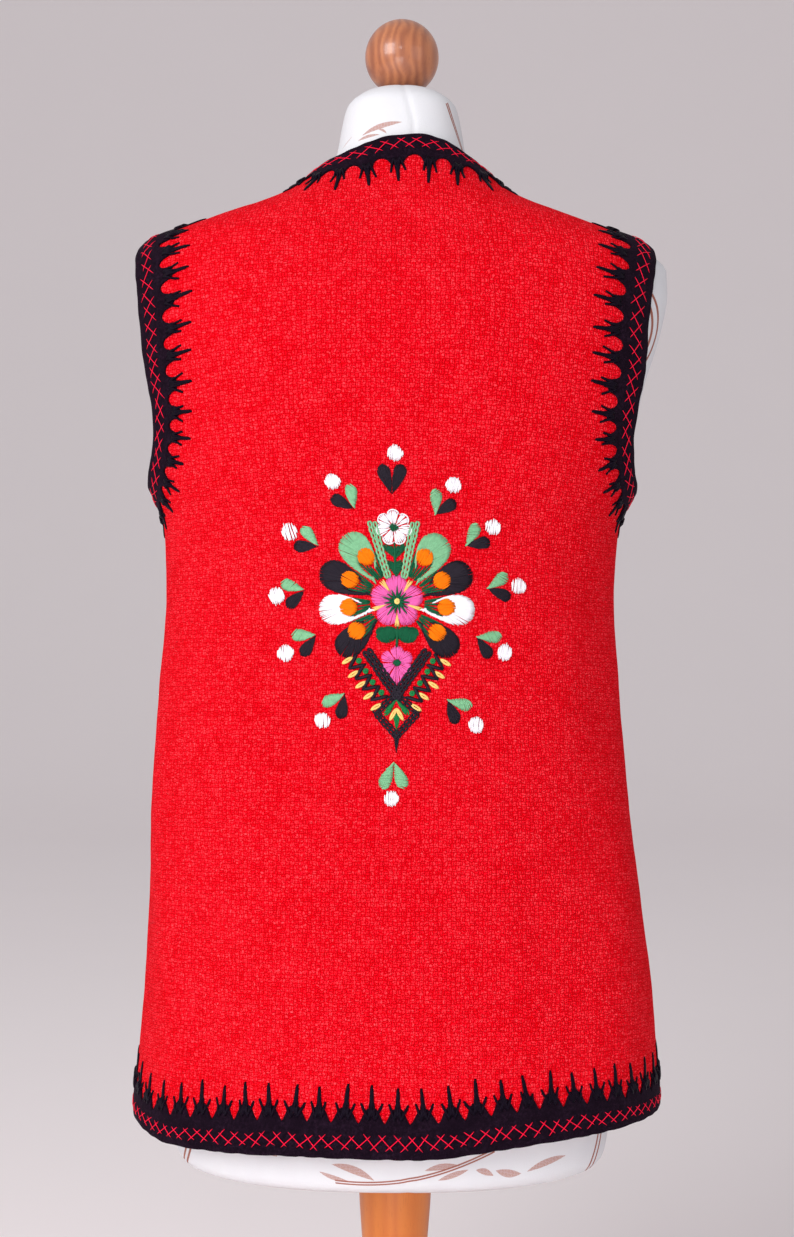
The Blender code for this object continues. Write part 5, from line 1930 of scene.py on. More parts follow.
@dataclass
class Medallion:
    """Folk flowers, drops and sprigs on the middle of the back, measured from the largest flower's centre."""

    cloth: BackField
    record: Record
    seed: int = 5
    wobble: float = 0.0003
    pitch: float = 0.00062
    sharpness: float = 1.3
    lens_thread: float = 0.00082
    thread: float = 0.00072
    lean: float = 0.055
    hole: float = 0.0062
    held_dot: float = 0.0060
    fan_root: float = 0.0178
    sprig_drop: float = 0.0186
    white_dot: float = 0.0056
    works: dict[Threads, ThreadWork] = field(default_factory=dict)

    def __post_init__(self) -> None:
        """Start the unevenness of the hand stitches."""
        self.random = np.random.default_rng(self.seed)

    def work(self, colour: Threads) -> ThreadWork:
        """The gathered stitches of one colour."""
        return self.works.setdefault(colour, ThreadWork(self.cloth.shape))

    def sew(self, colour: Threads, paths: Array, half_width: Array | float, above: float,
            sink: float = 0.35) -> None:
        """Sew stitches along paths.

        Args:
            colour: The thread.
            paths: Places right and up, by stitch and station.
            half_width: Half the thread's width.
            above: How far its middle stands off the cloth.
            sink: The share of that height left at its ends.
        """
        stations = paths.shape[1]
        share = np.linspace(0.0, 1.0, stations)
        arch = sink + (1.0 - sink) * np.sin(math.pi * share) ** 0.6
        right = paths[..., 0] - self.lean * np.maximum(paths[..., 1], 0.0)
        base = self.cloth.at(right.ravel(), paths[..., 1].ravel()).reshape(*paths.shape[:2], 3)
        width = np.broadcast_to(half_width, paths.shape[:2]).copy()
        width[:, (0, -1)] *= 0.6
        lift = above * arch[None, :] * self.random.uniform(0.88, 1.12, (len(paths), 1))
        self.work(colour).sew(base, lift, width)

    def lines(self, colour: Threads, starts: Array, ends: Array, half_width: float,
              above: float, taper: float = 1.0, jitter: float = 0.00022, stations: int = 5,
              sink: float = 0.35) -> None:
        """Sew straight stitches between places.

        Args:
            colour: The thread.
            starts: Where they come up.
            ends: Where they go down.
            half_width: Half the thread's width at the start.
            above: How far its middle stands off the cloth.
            taper: The width at the end as a share of that at the start.
            jitter: Unevenness of both ends.
            stations: Points along each stitch.
            sink: The share of that height left at its ends.
        """
        starts = starts + self.random.normal(0.0, jitter, starts.shape)
        ends = ends + self.random.normal(0.0, jitter, ends.shape)
        share = np.linspace(0.0, 1.0, stations)
        paths = between(starts, ends, share)
        self.sew(colour, paths, half_width * (1.0 + (taper - 1.0) * share)[None, :], above, sink)

    def drop_breadth(self, share: Array) -> Array:
        """A drop's half breadth from its tip at 0 to its round end at 1, at most 1.

        Args:
            share: Places along it.

        Returns:
            One half breadth for each.
        """
        peak = self.sharpness / (self.sharpness + 0.5)
        most = peak ** self.sharpness * (1.0 - peak) ** 0.5
        share = np.clip(share, 0.0, 1.0)
        return share ** self.sharpness * np.sqrt(1.0 - share) / most

    def drop_outline(self, tip: Spot, far: Spot, half: float, sign: float, shares: Array) -> Array:
        """Places on one side of a drop, evenly spread from its tip to its far end.

        Args:
            tip: Its pointed end.
            far: Its round end.
            half: Half its breadth.
            sign: 1 for its left side, -1 for its right.
            shares: Shares of the way along its side.

        Returns:
            The places.
        """
        way = Way.join(tip, far)
        fine = 1.0 - (1.0 - np.linspace(0.0, 1.0, 200)) ** 2
        x, y = fine * way.length, self.drop_breadth(fine) * half
        run = run_along(np.stack([x, y], 1))
        return way.at(np.interp(shares, run / run[-1], x), sign * np.interp(shares, run / run[-1], y))

    def slanted_drop(self, colour: Threads, tip: Spot, far: Spot, half: float, slant: float = 0.16) -> None:
        """Fill a small drop with slanting satin stitches.

        Args:
            colour: The thread.
            tip: Its pointed end.
            far: Its round end.
            half: Half its breadth.
            slant: How far the stitches slant, as a share of its length.
        """
        way = Way.join(tip, far)
        count = max(4, round(way.length * 0.98 / self.pitch))
        share = np.linspace(-slant + 0.04, 1.0, count)
        low, high = np.clip(share, 0.0, 1.0), np.clip(share + slant, 0.0, 1.0)
        first = way.at(low * way.length, self.drop_breadth(low) * half)
        last = way.at(high * way.length, -self.drop_breadth(high) * half)
        keep = np.linalg.norm(first - last, axis=1) > 0.0011
        self.lines(colour, first[keep], last[keep], 0.66 * self.thread, 0.0006, jitter=0.00015)

    def long_drop(self, colour: Threads, tip: Spot, far: Spot, half: float, rows: int = 11) -> None:
        """Fill a small drop with satin stitches that run from its tip to its round end.

        Args:
            colour: The thread.
            tip: Its pointed end.
            far: Its round end.
            half: Half its breadth.
            rows: How many stitches.
        """
        way = Way.join(tip, far)
        lanes = np.linspace(-0.93, 0.93, rows)
        turn = 1.0 - half / way.length
        end = turn + (1.0 - turn) * np.sqrt(np.maximum(1.0 - lanes ** 2, 0.0)) + self.random.uniform(
            -0.012, 0.012, rows)
        begin = 0.02 + 0.16 * np.abs(lanes)
        share = np.linspace(0.0, 1.0, 7)
        along = begin[:, None] + (end - begin)[:, None] * share[None, :]
        sideways = lanes[:, None] * np.sin(0.5 * math.pi * np.clip(along / turn, 0.0, 1.0)) ** 1.25 * half
        paths = way.at(along * way.length, sideways)
        paths = paths + self.random.normal(0.0, 0.00012, paths.shape)
        width = half / rows * (0.60 + 0.90 * np.clip(along / turn, 0.0, 1.0))
        self.sew(colour, paths, width, 0.0006)

    def disc(self, colour: Threads, centre: Spot, radius: float, axis: Spot = (0.0, 1.0), oval: float = 1.0,
             above: float = 0.0007, ragged: float = 0.00030) -> None:
        """Fill a round dot with parallel satin stitches.

        Args:
            colour: The thread.
            centre: Its middle.
            radius: Half its breadth.
            axis: The stitches' direction.
            oval: Its length along the stitches as a share of its breadth.
            above: How far it stands off the cloth.
            ragged: Unevenness of the stitches' ends.
        """
        run = np.array(axis) / np.hypot(*axis)
        across = leftward(run)
        count = max(5, round(2.0 * radius / (0.86 * self.thread)))
        offset = np.linspace(-0.94, 0.94, count) * radius
        half = np.sqrt(np.maximum(radius ** 2 - offset ** 2, (0.25 * radius) ** 2)) * oval
        middle, reach = np.array(centre) + offset[:, None] * across, half[:, None] * run
        self.lines(colour, middle - reach, middle + reach, 0.74 * self.thread, above, jitter=ragged,
                   sink=0.72)

    def keyhole_drop(self, colour: Threads, tip: Spot, far: Spot, half: float, dot: Spot, dot_radius: float,
                     short_side: float) -> None:
        """Fill a large drop round the dot that it holds, with stitches from its outline to the dot.

        Args:
            colour: The thread.
            tip: Its pointed end.
            far: Its round end.
            half: Half its breadth.
            dot: The dot's middle.
            dot_radius: The dot's radius.
            short_side: The side whose leg stops short of the tip, 1 left of its axis or -1 right of it.
        """
        way = Way.join(tip, far)
        hole_tip = way.start + 0.12 * way.length * way.axis
        for sign in (-1.0, 1.0):
            outline = self.drop_outline(tip, far, half, sign, np.linspace(0.0, 1.0, 60))
            count = round(np.linalg.norm(np.diff(outline, axis=0), axis=1).sum() / self.pitch)
            shares = np.linspace(0.34 if sign == short_side else 0.02, 1.0, count)
            outer = self.drop_outline(tip, far, half, sign, shares)
            held = np.clip(shares * 1.30 - 0.12, 0.0, 1.0)
            inner = self.drop_outline(hole_tip, dot, 0.95 * dot_radius, sign, held)
            wander = self.random.uniform(0.0, 0.08, (count, 1))
            inner = inner + (outer - inner) * wander
            if sign != short_side:
                width = np.linalg.norm(inner - outer, axis=1, keepdims=True)
                inner = outer + (inner - outer) * np.maximum(1.0, 0.0030 / np.maximum(width, 0.0006))
            self.lines(colour, outer, inner, 0.60 * self.thread, 0.00062, 0.85, stations=6)

    def petals(self, colour: Threads, centre: Spot, radius: float, count: int, first: float, inner: float,
               notch: float, pitch: float = 0.00082, stretch: float = 0.0, fill: float = 1.25) -> None:
        """Fill a flower with stitches that run from its petals' rims to its middle.

        Args:
            colour: The thread.
            centre: The flower's middle.
            radius: From there to a petal's rim.
            count: How many petals.
            first: The first petal's direction, in degrees.
            inner: Radius where the stitches end.
            notch: Depth of the notches between petals, as a share of the radius.
            pitch: From stitch to stitch at the rim.
            stretch: How much longer the petal that points down is, as a share.
            fill: The threads' breadth as a share of the pitch.
        """
        total = round(TURN * radius * 0.9 / pitch)
        angles = np.linspace(0.0, TURN, total, endpoint=False)
        reach, lobe = self.petal_reach(angles, radius, count, first, notch, stretch)
        keep = lobe > 0.13
        angles, reach = angles[keep], reach[keep]
        ways = heading(angles)
        start = np.array(centre) + ways * reach[:, None]
        ends = inner + (0.30 * (reach - inner)) * (np.arange(len(angles)) % 3 == 1)
        end = np.array(centre) + ways * ends[:, None]
        self.lines(colour, start, end, 0.44 * pitch * fill, 0.00055, 0.55, jitter=0.00020)

    @staticmethod
    def petal_reach(angles: Array, radius: float, count: int, first: float, notch: float,
                    stretch: float) -> tuple[Array, Array]:
        """How far a flower's rim lies in each direction, and how far each direction is from the notches.

        Args:
            angles: The directions.
            radius: From the middle to a petal's rim.
            count: How many petals.
            first: The first petal's direction, in degrees.
            notch: Depth of the notches, as a share.
            stretch: How much longer the lowest petal is.

        Returns:
            The rim's radii, and shares from 0 in a notch to 1 on a petal's middle.
        """
        lobe = np.abs(np.cos(0.5 * count * (angles - math.radians(first))))
        down = np.maximum(0.0, np.cos(angles + QUARTER))
        return radius * (1.0 - notch + notch * lobe ** 0.65) * (1.0 + stretch * down ** 6), lobe

    def knot(self, colour: Threads, centre: Spot, radius: float) -> None:
        """Tie a small round knot.

        Args:
            colour: The thread.
            centre: Its middle.
            radius: Its radius.
        """
        turn = np.linspace(0.0, 5.2 * math.pi, 30)
        reach = radius * (0.72 - 0.62 * turn / turn[-1])
        path = np.array(centre) + heading(turn) * reach[:, None]
        self.sew(colour, path[None], 0.34 * radius + 0.0001, 0.0009, 0.7)

    def loop(self, colour: Threads, start: Spot, end: Spot, half: float, thread: float) -> None:
        """Sew one open loop of a chain, pointed at its start and round at its end.

        Args:
            colour: The thread.
            start: Where it starts.
            end: Where it ends.
            half: Half its breadth.
            thread: Half the thread's width.
        """
        way = Way.join(start, end)
        along = np.array([0.0, 0.22, 0.5, 0.78, 0.95, 1.0])
        wide = np.array([0.05, 0.55, 1.0, 0.95, 0.55, 0.0])
        for sign in (-1.0, 1.0):
            self.sew(colour, way.at(along * way.length, sign * wide * half)[None], thread, 0.00060)

    def chain(self, colour: Threads, start: Spot, end: Spot, link: float, half: float, thread: float) -> None:
        """Sew a row of chain stitches.

        Args:
            colour: The thread.
            start: Where it starts.
            end: Where it ends.
            link: Length of a stitch.
            half: Half a stitch's breadth.
            thread: Half the thread's width.
        """
        first, last = np.array(start), np.array(end)
        count = max(2, round(float(np.linalg.norm(last - first)) / link))
        marks = first + np.linspace(0.0, 1.0, count + 1)[:, None] * (last - first)
        step = marks[1] - marks[0]
        for mark in marks[:-1]:
            nudge = self.random.normal(0.0, 0.00012, 2)
            self.loop(colour, mark + nudge, mark + 1.30 * step + nudge, half, thread)

    def twin_chain(self, colour: Threads, start: Array, end: Array, aside: float, link: float,
                   half: float, thread: float) -> None:
        """Sew two rows of chain stitches side by side.

        Args:
            colour: The thread.
            start: Where they start, halfway between them.
            end: Where they end.
            aside: From there to each row.
            link: Length of a stitch.
            half: Half a stitch's breadth.
            thread: Half the thread's width.
        """
        for lane in (-1.0, 1.0):
            shift = leftward(end - start) * aside * lane
            self.chain(colour, start + shift, end + shift, link, half, thread)

    def fan(self, colour: Threads, root: Spot, dot: Spot, dot_radius: float) -> None:
        """Sew straight stitches from a root at the flower to a dot and both its sides.

        Args:
            colour: The thread.
            root: Where they start.
            dot: The dot's middle.
            dot_radius: Its radius.
        """
        way = Way.join(root, dot)
        lanes = np.array([-1.12, -0.70, -0.24, 0.22, 0.68, 1.12])
        reach = np.array([0.98, 0.78, 0.66, 0.66, 0.78, 0.98]) + self.random.uniform(-0.03, 0.03, 6)
        ends = way.at(reach * way.length, lanes * dot_radius)
        starts = way.at(np.full(len(lanes), 0.10 * way.length), lanes * 0.40 * dot_radius)
        self.lines(colour, starts, ends, 0.00074, 0.00040, 0.90)

    def middle_flower(self) -> None:
        """Sew the large flower with its rays, wedges and knot."""
        self.petals(Threads.PINK, (0.0, 0.0), 0.0192, 5, 90.0, 0.0030, 0.34)
        self.disc(Threads.GREEN, (0.0, 0.0), 0.0036, above=0.0009)
        for step in range(5):
            turn = math.radians(90.0 + 72.0 * step)
            for aside, reach in ((0.0, 0.0124), (24.0, 0.0098), (-24.0, 0.0098)):
                way = heading(turn + math.radians(aside + self.random.normal(0.0, 2.0)))[None]
                self.lines(Threads.GREEN, way * 0.0020, way * reach, 0.00115, 0.00105, 0.22)
            way = heading(turn + math.radians(36.0))
            for shift in (-1.0, 0.0, 1.0):
                start = (way * 0.0182 + shift * leftward(way) * 0.0012)[None]
                self.lines(Threads.YELLOW, start, (way * 0.0080)[None], 0.00066, 0.0009, 0.35)
        self.knot(Threads.YELLOW, (0.0, 0.0), 0.0025)

    def great_drops(self) -> None:
        """Sew the eight large drops, each with its dot and fan."""
        rows = (  # thread, tip, round end, half its breadth, and the middle of the dot that it holds
            (Threads.MINT, (0.0135, 0.0115), (0.0346, 0.0474), 0.0113, (0.0209, 0.0318)),
            (Threads.BLACK, (0.0168, 0.0030), (0.0540, 0.0236), 0.0109, (0.0330, 0.0158)),
            (Threads.WHITE, (0.0140, -0.0053), (0.0562, -0.0060), 0.0106, (0.0350, -0.0040)),
            (Threads.BLACK, (0.0138, -0.0130), (0.0428, -0.0366), 0.0099, (0.0286, -0.0213)),
        )
        for colour, tip, far, half, dot in rows:
            for sign in (1.0, -1.0):
                near, end, middle = [np.array(place) * (sign, 1.0) + self.random.normal(0.0, self.wobble, 2)
                                     for place in (tip, far, dot)]
                self.keyhole_drop(colour, near, end, half, middle, self.hole, sign)
                root = middle * (self.fan_root / np.linalg.norm(middle))
                self.fan(Threads.GREEN, root, middle, self.hole)
                self.disc(Threads.ORANGE, middle, self.held_dot, end - near, 1.06, 0.00125, 0.00022)

    def upper_spray(self) -> None:
        """Sew the white flower, its stem with leaves and the two chained arms."""
        flower = (0.0, 0.0531)
        for step in range(7):
            arc = math.radians(90.0 + 360.0 / 7.0 * step) + np.radians(np.linspace(-24.5, 24.5, 9))
            reach, _ = self.petal_reach(arc, 0.0128, 7, 90.0, 0.24, 0.0)
            path = np.array(flower) + heading(arc) * reach[:, None]
            self.sew(Threads.WHITE, path[None], 0.00046, 0.00066, 0.8)
        self.petals(Threads.WHITE, flower, 0.0126, 7, 90.0, 0.0022, 0.24, 0.00140, fill=1.12)
        self.disc(Threads.GREEN, flower, 0.0028, above=0.0008)
        self.lines(Threads.GREEN, np.array([[0.0, 0.0180]]), np.array([[0.0, 0.0425]]), 0.0009, 0.0005)
        for low, high, size in ((0.0180, 0.0294, 0.0046), (0.0310, 0.0407, 0.0072)):
            for sign in (1.0, -1.0):
                self.slanted_drop(Threads.GREEN, (0.0, low), (sign * size, high), 0.0023, 0.20)
                inner = (sign * 0.45 * size, high - 0.001)
                self.slanted_drop(Threads.GREEN, (0.0, low + 0.002), inner, 0.0018)
        for sign in (1.0, -1.0):
            low, high = np.array([sign * 0.0056, 0.0165]), np.array([sign * 0.0155, 0.0565])
            axis = unit(high - low)
            for lane in (-1.0, 1.0):
                shift = leftward(axis) * 0.0018 * lane
                end = high + shift - axis * 0.0014 * (lane * sign > 0.0)
                self.chain(Threads.MINT, low + shift * 0.55, end, 0.0043, 0.00118, 0.00072)

    def lower_spray(self) -> None:
        """Sew the leaf pair and the small flower below the large one."""
        self.lines(Threads.GREEN, np.array([[0.0, -0.0180]]), np.array([[0.0, -0.0330]]), 0.0010, 0.0007)
        for sign in (1.0, -1.0):
            middle, axis = (sign * 0.0070, -0.0238), (sign * 0.35, 1.0)
            self.disc(Threads.GREEN, middle, 0.0072, axis, 0.82, ragged=0.00015)
            self.slanted_drop(Threads.GREEN, (0.0, -0.0205), (sign * 0.0150, -0.0245), 0.0052, 0.05)
        flower = (0.0, -0.0440)
        self.petals(Threads.PINK, flower, 0.0121, 6, 90.0, 0.0022, 0.26, stretch=0.32)
        self.disc(Threads.GREEN, flower, 0.0025, above=0.0008)

    def braid(self) -> None:
        """Sew the braided V, the diamond under it and what they hold."""
        top, point = np.array([0.0224, -0.0348]), np.array([0.0, -0.0665])
        corner, foot = np.array([0.0150, -0.0795]), np.array([0.0, -0.0958])
        for sign in (1.0, -1.0):
            start, past = top * (sign, 1.0), 0.04 * (point - top * (sign, 1.0))
            self.twin_chain(Threads.BLACK, start, point + past, 0.00185, 0.0042, 0.00125, 0.00098)
            for near, far in ((point, corner * (-sign, 1.0)), (corner * (sign, 1.0), foot)):
                self.twin_chain(Threads.BLACK, near, far, 0.00125, 0.0040, 0.00100, 0.00060)
            self.slanted_drop(Threads.LEAF, (0.0, -0.0700), (sign * 0.0086, -0.0812), 0.0019, 0.30)
            self.lens(Threads.YELLOW, (0.0, -0.0763), (sign * 0.0048, -0.0850), 0.0008)
        self.long_drop(Threads.LEAF, (0.0, -0.0925), (0.0, -0.0800), 0.0018, 5)
        self.long_drop(Threads.BLACK, (0.0, -0.1090), (0.0, -0.0940), 0.0014, 4)

    def lens(self, colour: Threads, start: Spot, end: Spot, half: float) -> None:
        """Sew a narrow leaf from two bowed stitches that leave a slit between them.

        Args:
            colour: The thread.
            start: Where it starts.
            end: Where it ends.
            half: Half its breadth.
        """
        way, share = Way.join(start, end), np.linspace(0.0, 1.0, 7)
        for sign in (-1.0, 1.0):
            path = way.at(share * way.length, sign * half * np.sin(math.pi * share))
            self.sew(colour, path[None], self.lens_thread, 0.0007)

    def braid_fringe(self) -> None:
        """Sew the loops, dots and lozenges outside the V."""
        out = np.array([0.80, -0.60])
        along = np.array([-0.60, -0.80])
        dots = ((0.0265, -0.0426), (0.0220, -0.0502), (0.0168, -0.0587), (0.0113, -0.0652))
        leaves = ((0.0350, -0.0430), (0.0308, -0.0523), (0.0259, -0.0600), (0.0199, -0.0675),
                  (0.0145, -0.0757))
        for sign in (1.0, -1.0):
            flip = np.array([sign, 1.0])
            for dot in dots:
                middle = np.array(dot) + self.random.normal(0.0, self.wobble, 2)
                self.knot(Threads.LEAF, middle * flip, 0.0023)
                tip = middle + out * 0.0094
                for side in (-1.0, 1.0):
                    root = middle - out * 0.0022 + along * 0.0050 * side
                    self.lines(Threads.BLACK, (root * flip)[None], (tip * flip)[None], 0.00138, 0.00055, 0.9)
            for x, y in leaves:
                middle = np.array([x, y]) + self.random.normal(0.0, self.wobble, 2)
                way = np.array([0.855, -0.52]) * 0.0044
                self.lens(Threads.YELLOW, (middle - way) * flip, (middle + way) * flip, 0.0009)

    def sprigs(self) -> None:
        """Sew the ring of sprigs: a white dot, a mint drop and a black drop that meet in a tip."""
        ring = (  # each sprig's white dot and the tip where its drops meet
            ((0.0446, 0.0834), (0.0301, 0.0621)), ((-0.0419, 0.0856), (-0.0274, 0.0657)),
            ((0.0720, 0.0539), (0.0511, 0.0402)), ((-0.0756, 0.0497), (-0.0544, 0.0393)),
            ((0.0892, 0.0117), (0.0654, 0.0100)), ((-0.0874, 0.0037), (-0.0661, 0.0080)),
            ((0.0782, -0.0362), (0.0572, -0.0248)), ((-0.0803, -0.0376), (-0.0579, -0.0243)),
            ((0.0572, -0.0882), (0.0362, -0.0699)), ((-0.0531, -0.0855), (-0.0369, -0.0659)),
        )
        for dot, tip in ring:
            sign = math.copysign(1.0, dot[0])
            end, root = np.array(dot), np.array(tip)
            self.dot(end, 0.15 * sign)
            way = math.atan2(*(end - root)[::-1])
            for colour, turn in ((Threads.MINT, sign * 27.0), (Threads.BLACK, -sign * 27.0)):
                angle = way + math.radians(turn + self.random.normal(0.0, 2.0))
                far = root + self.sprig_drop * heading(angle)
                if colour is Threads.MINT:
                    self.slanted_drop(colour, root, far, 0.0043, 0.24 * sign)
                else:
                    self.long_drop(colour, root, far, 0.0042)
        self.dot((0.0036, 0.1060), 0.1)
        self.dot((-0.0034, -0.1404), 0.0)
        for sign in (1.0, -1.0):
            self.long_drop(Threads.BLACK, (0.0, 0.0760), (0.0008 + sign * 0.0076, 0.0978), 0.0045, 12)
            self.slanted_drop(Threads.MINT, (-0.0016, -0.1146), (-0.0020 + sign * 0.0082, -0.1332), 0.0045,
                              -0.2 * sign)

    def dot(self, centre: Spot, slant: float) -> None:
        """Sew a white dot with ragged ends.

        Args:
            centre: Its middle.
            slant: Its stitches' slant.
        """
        size = self.random.normal(self.white_dot, 0.00018)
        slant += self.random.normal(0.0, 0.06)
        self.disc(Threads.WHITE, centre, size, (slant, 1.0), self.random.uniform(0.98, 1.12), ragged=0.00042)

    def build(self) -> None:
        """Sew the whole medallion, one piece for each thread."""
        self.great_drops()
        self.upper_spray()
        self.lower_spray()
        self.braid()
        self.braid_fringe()
        self.middle_flower()
        self.sprigs()
        for colour, work in self.works.items():
            piece = work.build("medallion_" + colour.name.lower(), colour.value.material())
            self.record.piece(piece, "red_wool")


# ------------------------------------------------------------------ the dress form
@dataclass
class DressForm:
    """The covered torso and neck, with a seam down the centre back."""

    record: Record
    sections: Sequence[Section] = FORM_SECTIONS
    sides: int = 224
    level_step: float = 0.0035
    seam_depth: float = 0.0010
    seam_breadth: float = 0.0022
    seam_top: float = 1.077
    seam_fall: float = 0.035
    seam_drift: float = 0.0090

    def build(self) -> None:
        """Build the torso through its sections and close it at both ends."""
        body = SectionBody(self.sections)
        levels = [self.sections[0].z]
        for lower, upper in zip(self.sections, self.sections[1:]):
            count = max(2, round((upper.z - lower.z) / self.level_step))
            levels += list(np.linspace(lower.z, upper.z, count + 1)[1:])
        z = np.array(levels)
        turns = circle(self.sides)
        power = 2.0 / body.SQUARENESS
        x = np.sign(np.sin(turns)) * np.abs(np.sin(turns)) ** power
        y = -np.sign(np.cos(turns)) * np.abs(np.cos(turns)) ** power
        reach = np.where(y[None, :] < 0.0, body.back(z)[:, None], body.front(z)[:, None])
        across, along = body.lean(z)[:, None] + body.half_width(z)[:, None] * x, reach * y
        points = np.stack([across, along, np.repeat(z[:, None], self.sides, 1)], -1)
        seam = self.seam_drift * np.clip((self.seam_top - z) / self.seam_fall, 0.0, 1.0)[:, None]
        groove = self.seam_depth * np.exp(-((across - seam) / self.seam_breadth) ** 2)
        points[..., 1] -= np.sign(along) * groove
        way = np.arctan2(across, -along) * 0.5 * (body.half_width(z) + body.back(z))[:, None]
        flat = np.stack([way, points[..., 2]], -1)
        parts = MeshParts()
        parts.add(points.reshape(-1, 3), ring_faces(len(z), self.sides), flat.reshape(-1, 2))
        torso = parts.build("covered_torso", CoverFinish().material())
        self.record.piece(torso, "white_cover", ["form_torso"])


@dataclass
class TurnedPiece:
    """A turned wooden piece."""

    name: str
    node: str
    slot: str
    profile: Sequence[Turning]
    finish: WoodFinish
    sides: int = 96

    def build(self, record: Record) -> None:
        """Spin the profile round its axis and close both ends.

        Args:
            record: What reports the piece.
        """
        turns = circle(self.sides)
        rows = [np.column_stack([row.radius * heading(turns), np.full(self.sides, row.z)])
                for row in self.profile]
        parts = MeshParts()
        parts.add(np.concatenate(rows), ring_faces(len(rows), self.sides))
        record.piece(parts.build(self.name, self.finish.material()), self.slot, [self.node])


def smooth_profile(turnings: Sequence[Turning], step: float) -> list[Turning]:
    """A turned profile with its radius drawn smoothly between the given places.

    Args:
        turnings: Places from the lowest up.
        step: Length between places of the result.

    Returns:
        The places from the lowest up.
    """
    curve = SmoothCurve([row.z for row in turnings], [row.radius for row in turnings])
    low, high = turnings[0].z, turnings[-1].z
    levels = np.unique(np.concatenate([np.arange(low, high, step), [row.z for row in turnings]]))
    return [Turning(float(z), float(curve(z))) for z in levels]


@dataclass
class FormStand:
    """The ball on the neck, the pole under the torso and the round base."""

    record: Record
    ball_radius: float = 0.0285
    ball_centre: float = 1.1040
    ball_foot: float = 1.0773
    base_radius: float = 0.1700
    base_height: float = 0.0260
    base_edge: float = 0.0060
    pole: tuple[Turning, ...] = tuple(Turning(*row) for row in (
        (0.0263, 0.0450), (0.0290, 0.0440), (0.0340, 0.0360), (0.0420, 0.0280), (0.0470, 0.0260),
        (0.0500, 0.0290), (0.0550, 0.0300), (0.0600, 0.0290), (0.0700, 0.0235), (0.0900, 0.0205),
        (0.1200, 0.0200), (0.1550, 0.0222), (0.1910, 0.0253), (0.2230, 0.0276), (0.2567, 0.0290),
    ))

    def build(self) -> None:
        """Build the three turned pieces."""
        brown = WoodFinish("finial_wood", (0.510, 0.185, 0.072), (0.215, 0.056, 0.026), 0.40, 0.45, 150.0)
        beech = WoodFinish("stand_wood", (0.610, 0.185, 0.027), (0.500, 0.123, 0.016), 0.42, 0.10)
        last = math.acos((self.ball_foot - self.ball_centre) / self.ball_radius)
        ball = [Turning(self.ball_centre + self.ball_radius * math.cos(turn),
                        self.ball_radius * math.sin(turn)) for turn in np.linspace(last, 0.03, 56)]
        TurnedPiece("ball_finial", "form_finial", "finial_wood", ball, brown).build(self.record)
        TurnedPiece("turned_pole", "form_pole", "stand_wood", smooth_profile(self.pole, 0.0025), beech).build(
            self.record)
        rim = [Turning(0.0, self.base_radius - 0.001), Turning(0.001, self.base_radius)]
        for turn in np.linspace(QUARTER, 0.0, 9):
            rim.append(Turning(self.base_height - self.base_edge * (1.0 - math.cos(turn)),
                               self.base_radius - self.base_edge * (1.0 - math.sin(turn))))
        rim += [Turning(self.base_height, reach) for reach in (0.150, 0.110, 0.070, 0.048)]
        TurnedPiece("round_base", "form_base", "stand_wood", rim, beech, 160).build(self.record)


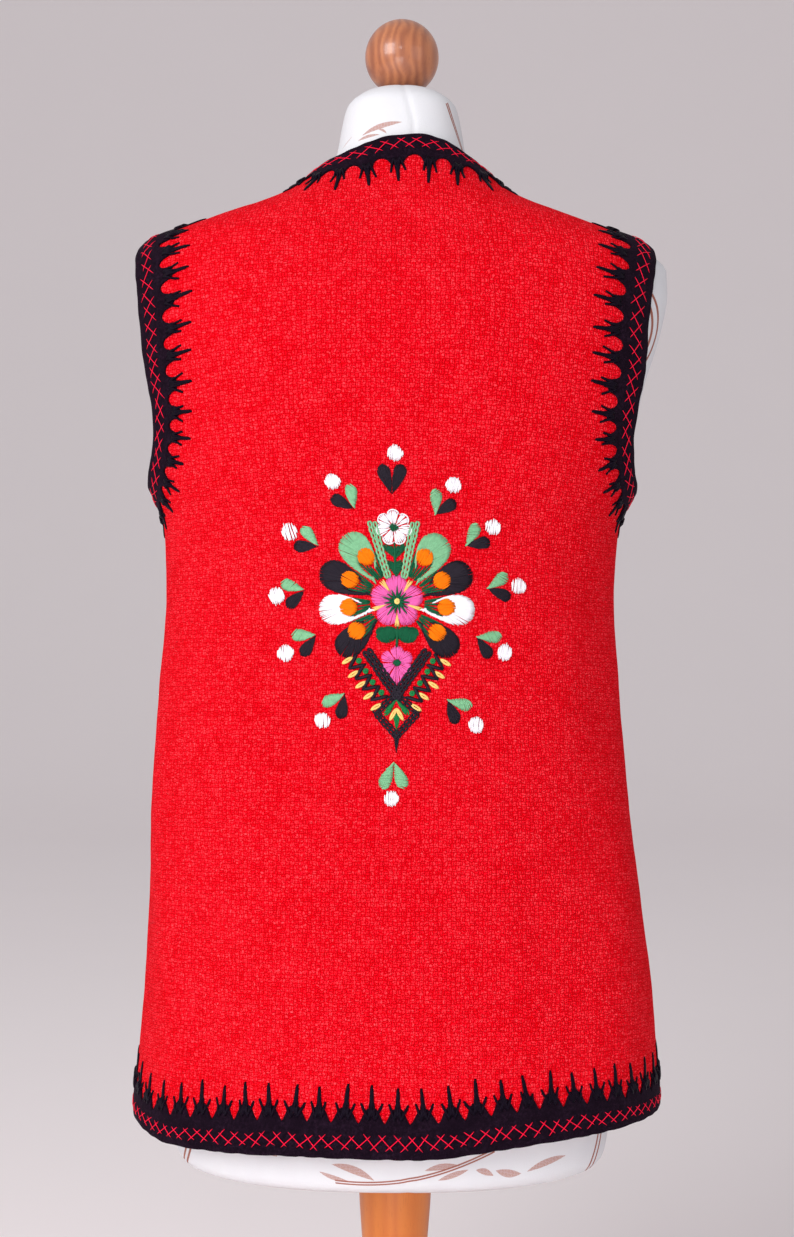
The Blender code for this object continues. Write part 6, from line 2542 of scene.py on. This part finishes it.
# ------------------------------------------------------------------ floor, light and camera
@dataclass
class Studio:
    """A pale floor that sweeps up behind, soft lights and the camera."""

    camera_back: float = 1.330
    camera_level: float = 0.670
    camera_aside: float = -0.0012
    roll: float = 0.35
    lens: float = 50.0
    floor_half: float = 8.0
    sweep_start: float = 4.0
    sweep_radius: float = 3.0
    wall_height: float = 8.0

    def floor(self) -> None:
        """Lay the floor and let it sweep up behind the object."""
        profile = [(-self.floor_half, 0.0), (self.sweep_start, 0.0)]
        for turn in np.linspace(0.0, QUARTER, 13)[1:]:
            profile.append((self.sweep_start + self.sweep_radius * math.sin(turn),
                            self.sweep_radius * (1.0 - math.cos(turn))))
        profile.append((self.sweep_start + self.sweep_radius, self.wall_height))
        points = np.array([(side * self.floor_half, y, z) for y, z in profile for side in (-1.0, 1.0)])
        i = np.arange(len(profile) - 1) * 2
        parts = MeshParts()
        parts.add(points, [np.stack([i, i + 1, i + 3, i + 2], 1)])
        parts.build("floor", FloorFinish().material())

    def lamp(self, name: str, place: tuple[float, float, float], aim: tuple[float, float, float], size: float,
             power: float, colour: Colour = (1.0, 1.0, 1.0), spread: float = 180.0) -> None:
        """Hang a square soft light.

        Args:
            name: Its name.
            place: Where it hangs.
            aim: What it faces.
            size: Its side.
            power: Its power in watts.
            colour: Its colour.
            spread: How wide its beam is, in degrees.
        """
        data = bpy.data.lights.new(name, "AREA")
        data.size, data.energy, data.color, data.spread = size, power, colour, math.radians(spread)
        thing = bpy.data.objects.new(name, data)
        thing.location = place
        way = np.array(aim) - np.array(place)
        level = math.hypot(way[0], way[1])
        thing.rotation_euler = Euler((math.atan2(level, -way[2]), 0.0, math.atan2(way[1], way[0]) - QUARTER))
        bpy.context.scene.collection.objects.link(thing)

    def lights(self) -> None:
        """Hang the lights and set the room's own light."""
        middle = (0.0, 0.0, 0.70)
        self.lamp("key_light", (-1.45, -1.80, 1.60), middle, 1.3, 48.5, (1.0, 0.985, 0.985))
        self.lamp("fill_light", (1.7, -1.7, 1.1), middle, 1.6, 7.5, (0.98, 0.98, 1.0))
        self.lamp("low_light", (-0.3, -1.9, 0.12), (0.0, 0.0, 0.28), 0.9, 10.0)
        self.lamp("skirt_light", (0.0, -1.6, 0.05), (0.0, 0.0, 0.10), 0.4, 0.20, spread=26.0)
        self.lamp("ball_light", (-0.13, -1.55, 1.47), (0.0, 0.0, 1.08), 0.22, 1.3)
        world = bpy.data.worlds.new("room")
        world.use_nodes = True
        world.node_tree.nodes["Background"].inputs[0].default_value = (1.0, 0.975, 0.985, 1.0)
        world.node_tree.nodes["Background"].inputs[1].default_value = 0.55
        bpy.context.scene.world = world

    def camera(self) -> None:
        """Set the camera behind the wearer's back, level and turned by the small roll."""
        data = bpy.data.cameras.new("camera")
        data.lens, data.sensor_width = self.lens, 36.0
        data.clip_start, data.clip_end = 0.05, 20.0
        thing = bpy.data.objects.new("camera", data)
        thing.location = (self.camera_aside, -self.camera_back, self.camera_level)
        thing.rotation_euler = Euler((QUARTER, math.radians(-self.roll), 0.0))
        bpy.context.scene.collection.objects.link(thing)
        bpy.context.scene.camera = thing

    def build(self) -> None:
        """Set up the whole studio."""
        bpy.context.scene.view_settings.view_transform = "Standard"
        self.floor()
        self.lights()
        self.camera()


def main() -> None:
    """Load the frame and build every piece on it, in order."""
    logging.basicConfig(level=logging.INFO, format="%(message)s")
    for thing in list(bpy.data.objects):
        bpy.data.objects.remove(thing)
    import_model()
    Studio().build()
    record = Record()
    shape = VestShape(VEST_SECTIONS, (*VEST_FOLDS, *SMALL_CREASES))
    DressForm(record).build()
    FormStand(record).build()
    vest = VestBuilder(VestCut(shape), record, WoolFinish().material(), FeltFinish().material())
    vest.back()
    vest.front(Side.RIGHT)
    vest.front(Side.LEFT)
    vest.stitching()
    back = BackField(shape, centre_level=0.6822, centre_x=-0.0011, low=0.520, high=0.820)
    Medallion(back, record).build()


if __name__ == "__main__":
    main()
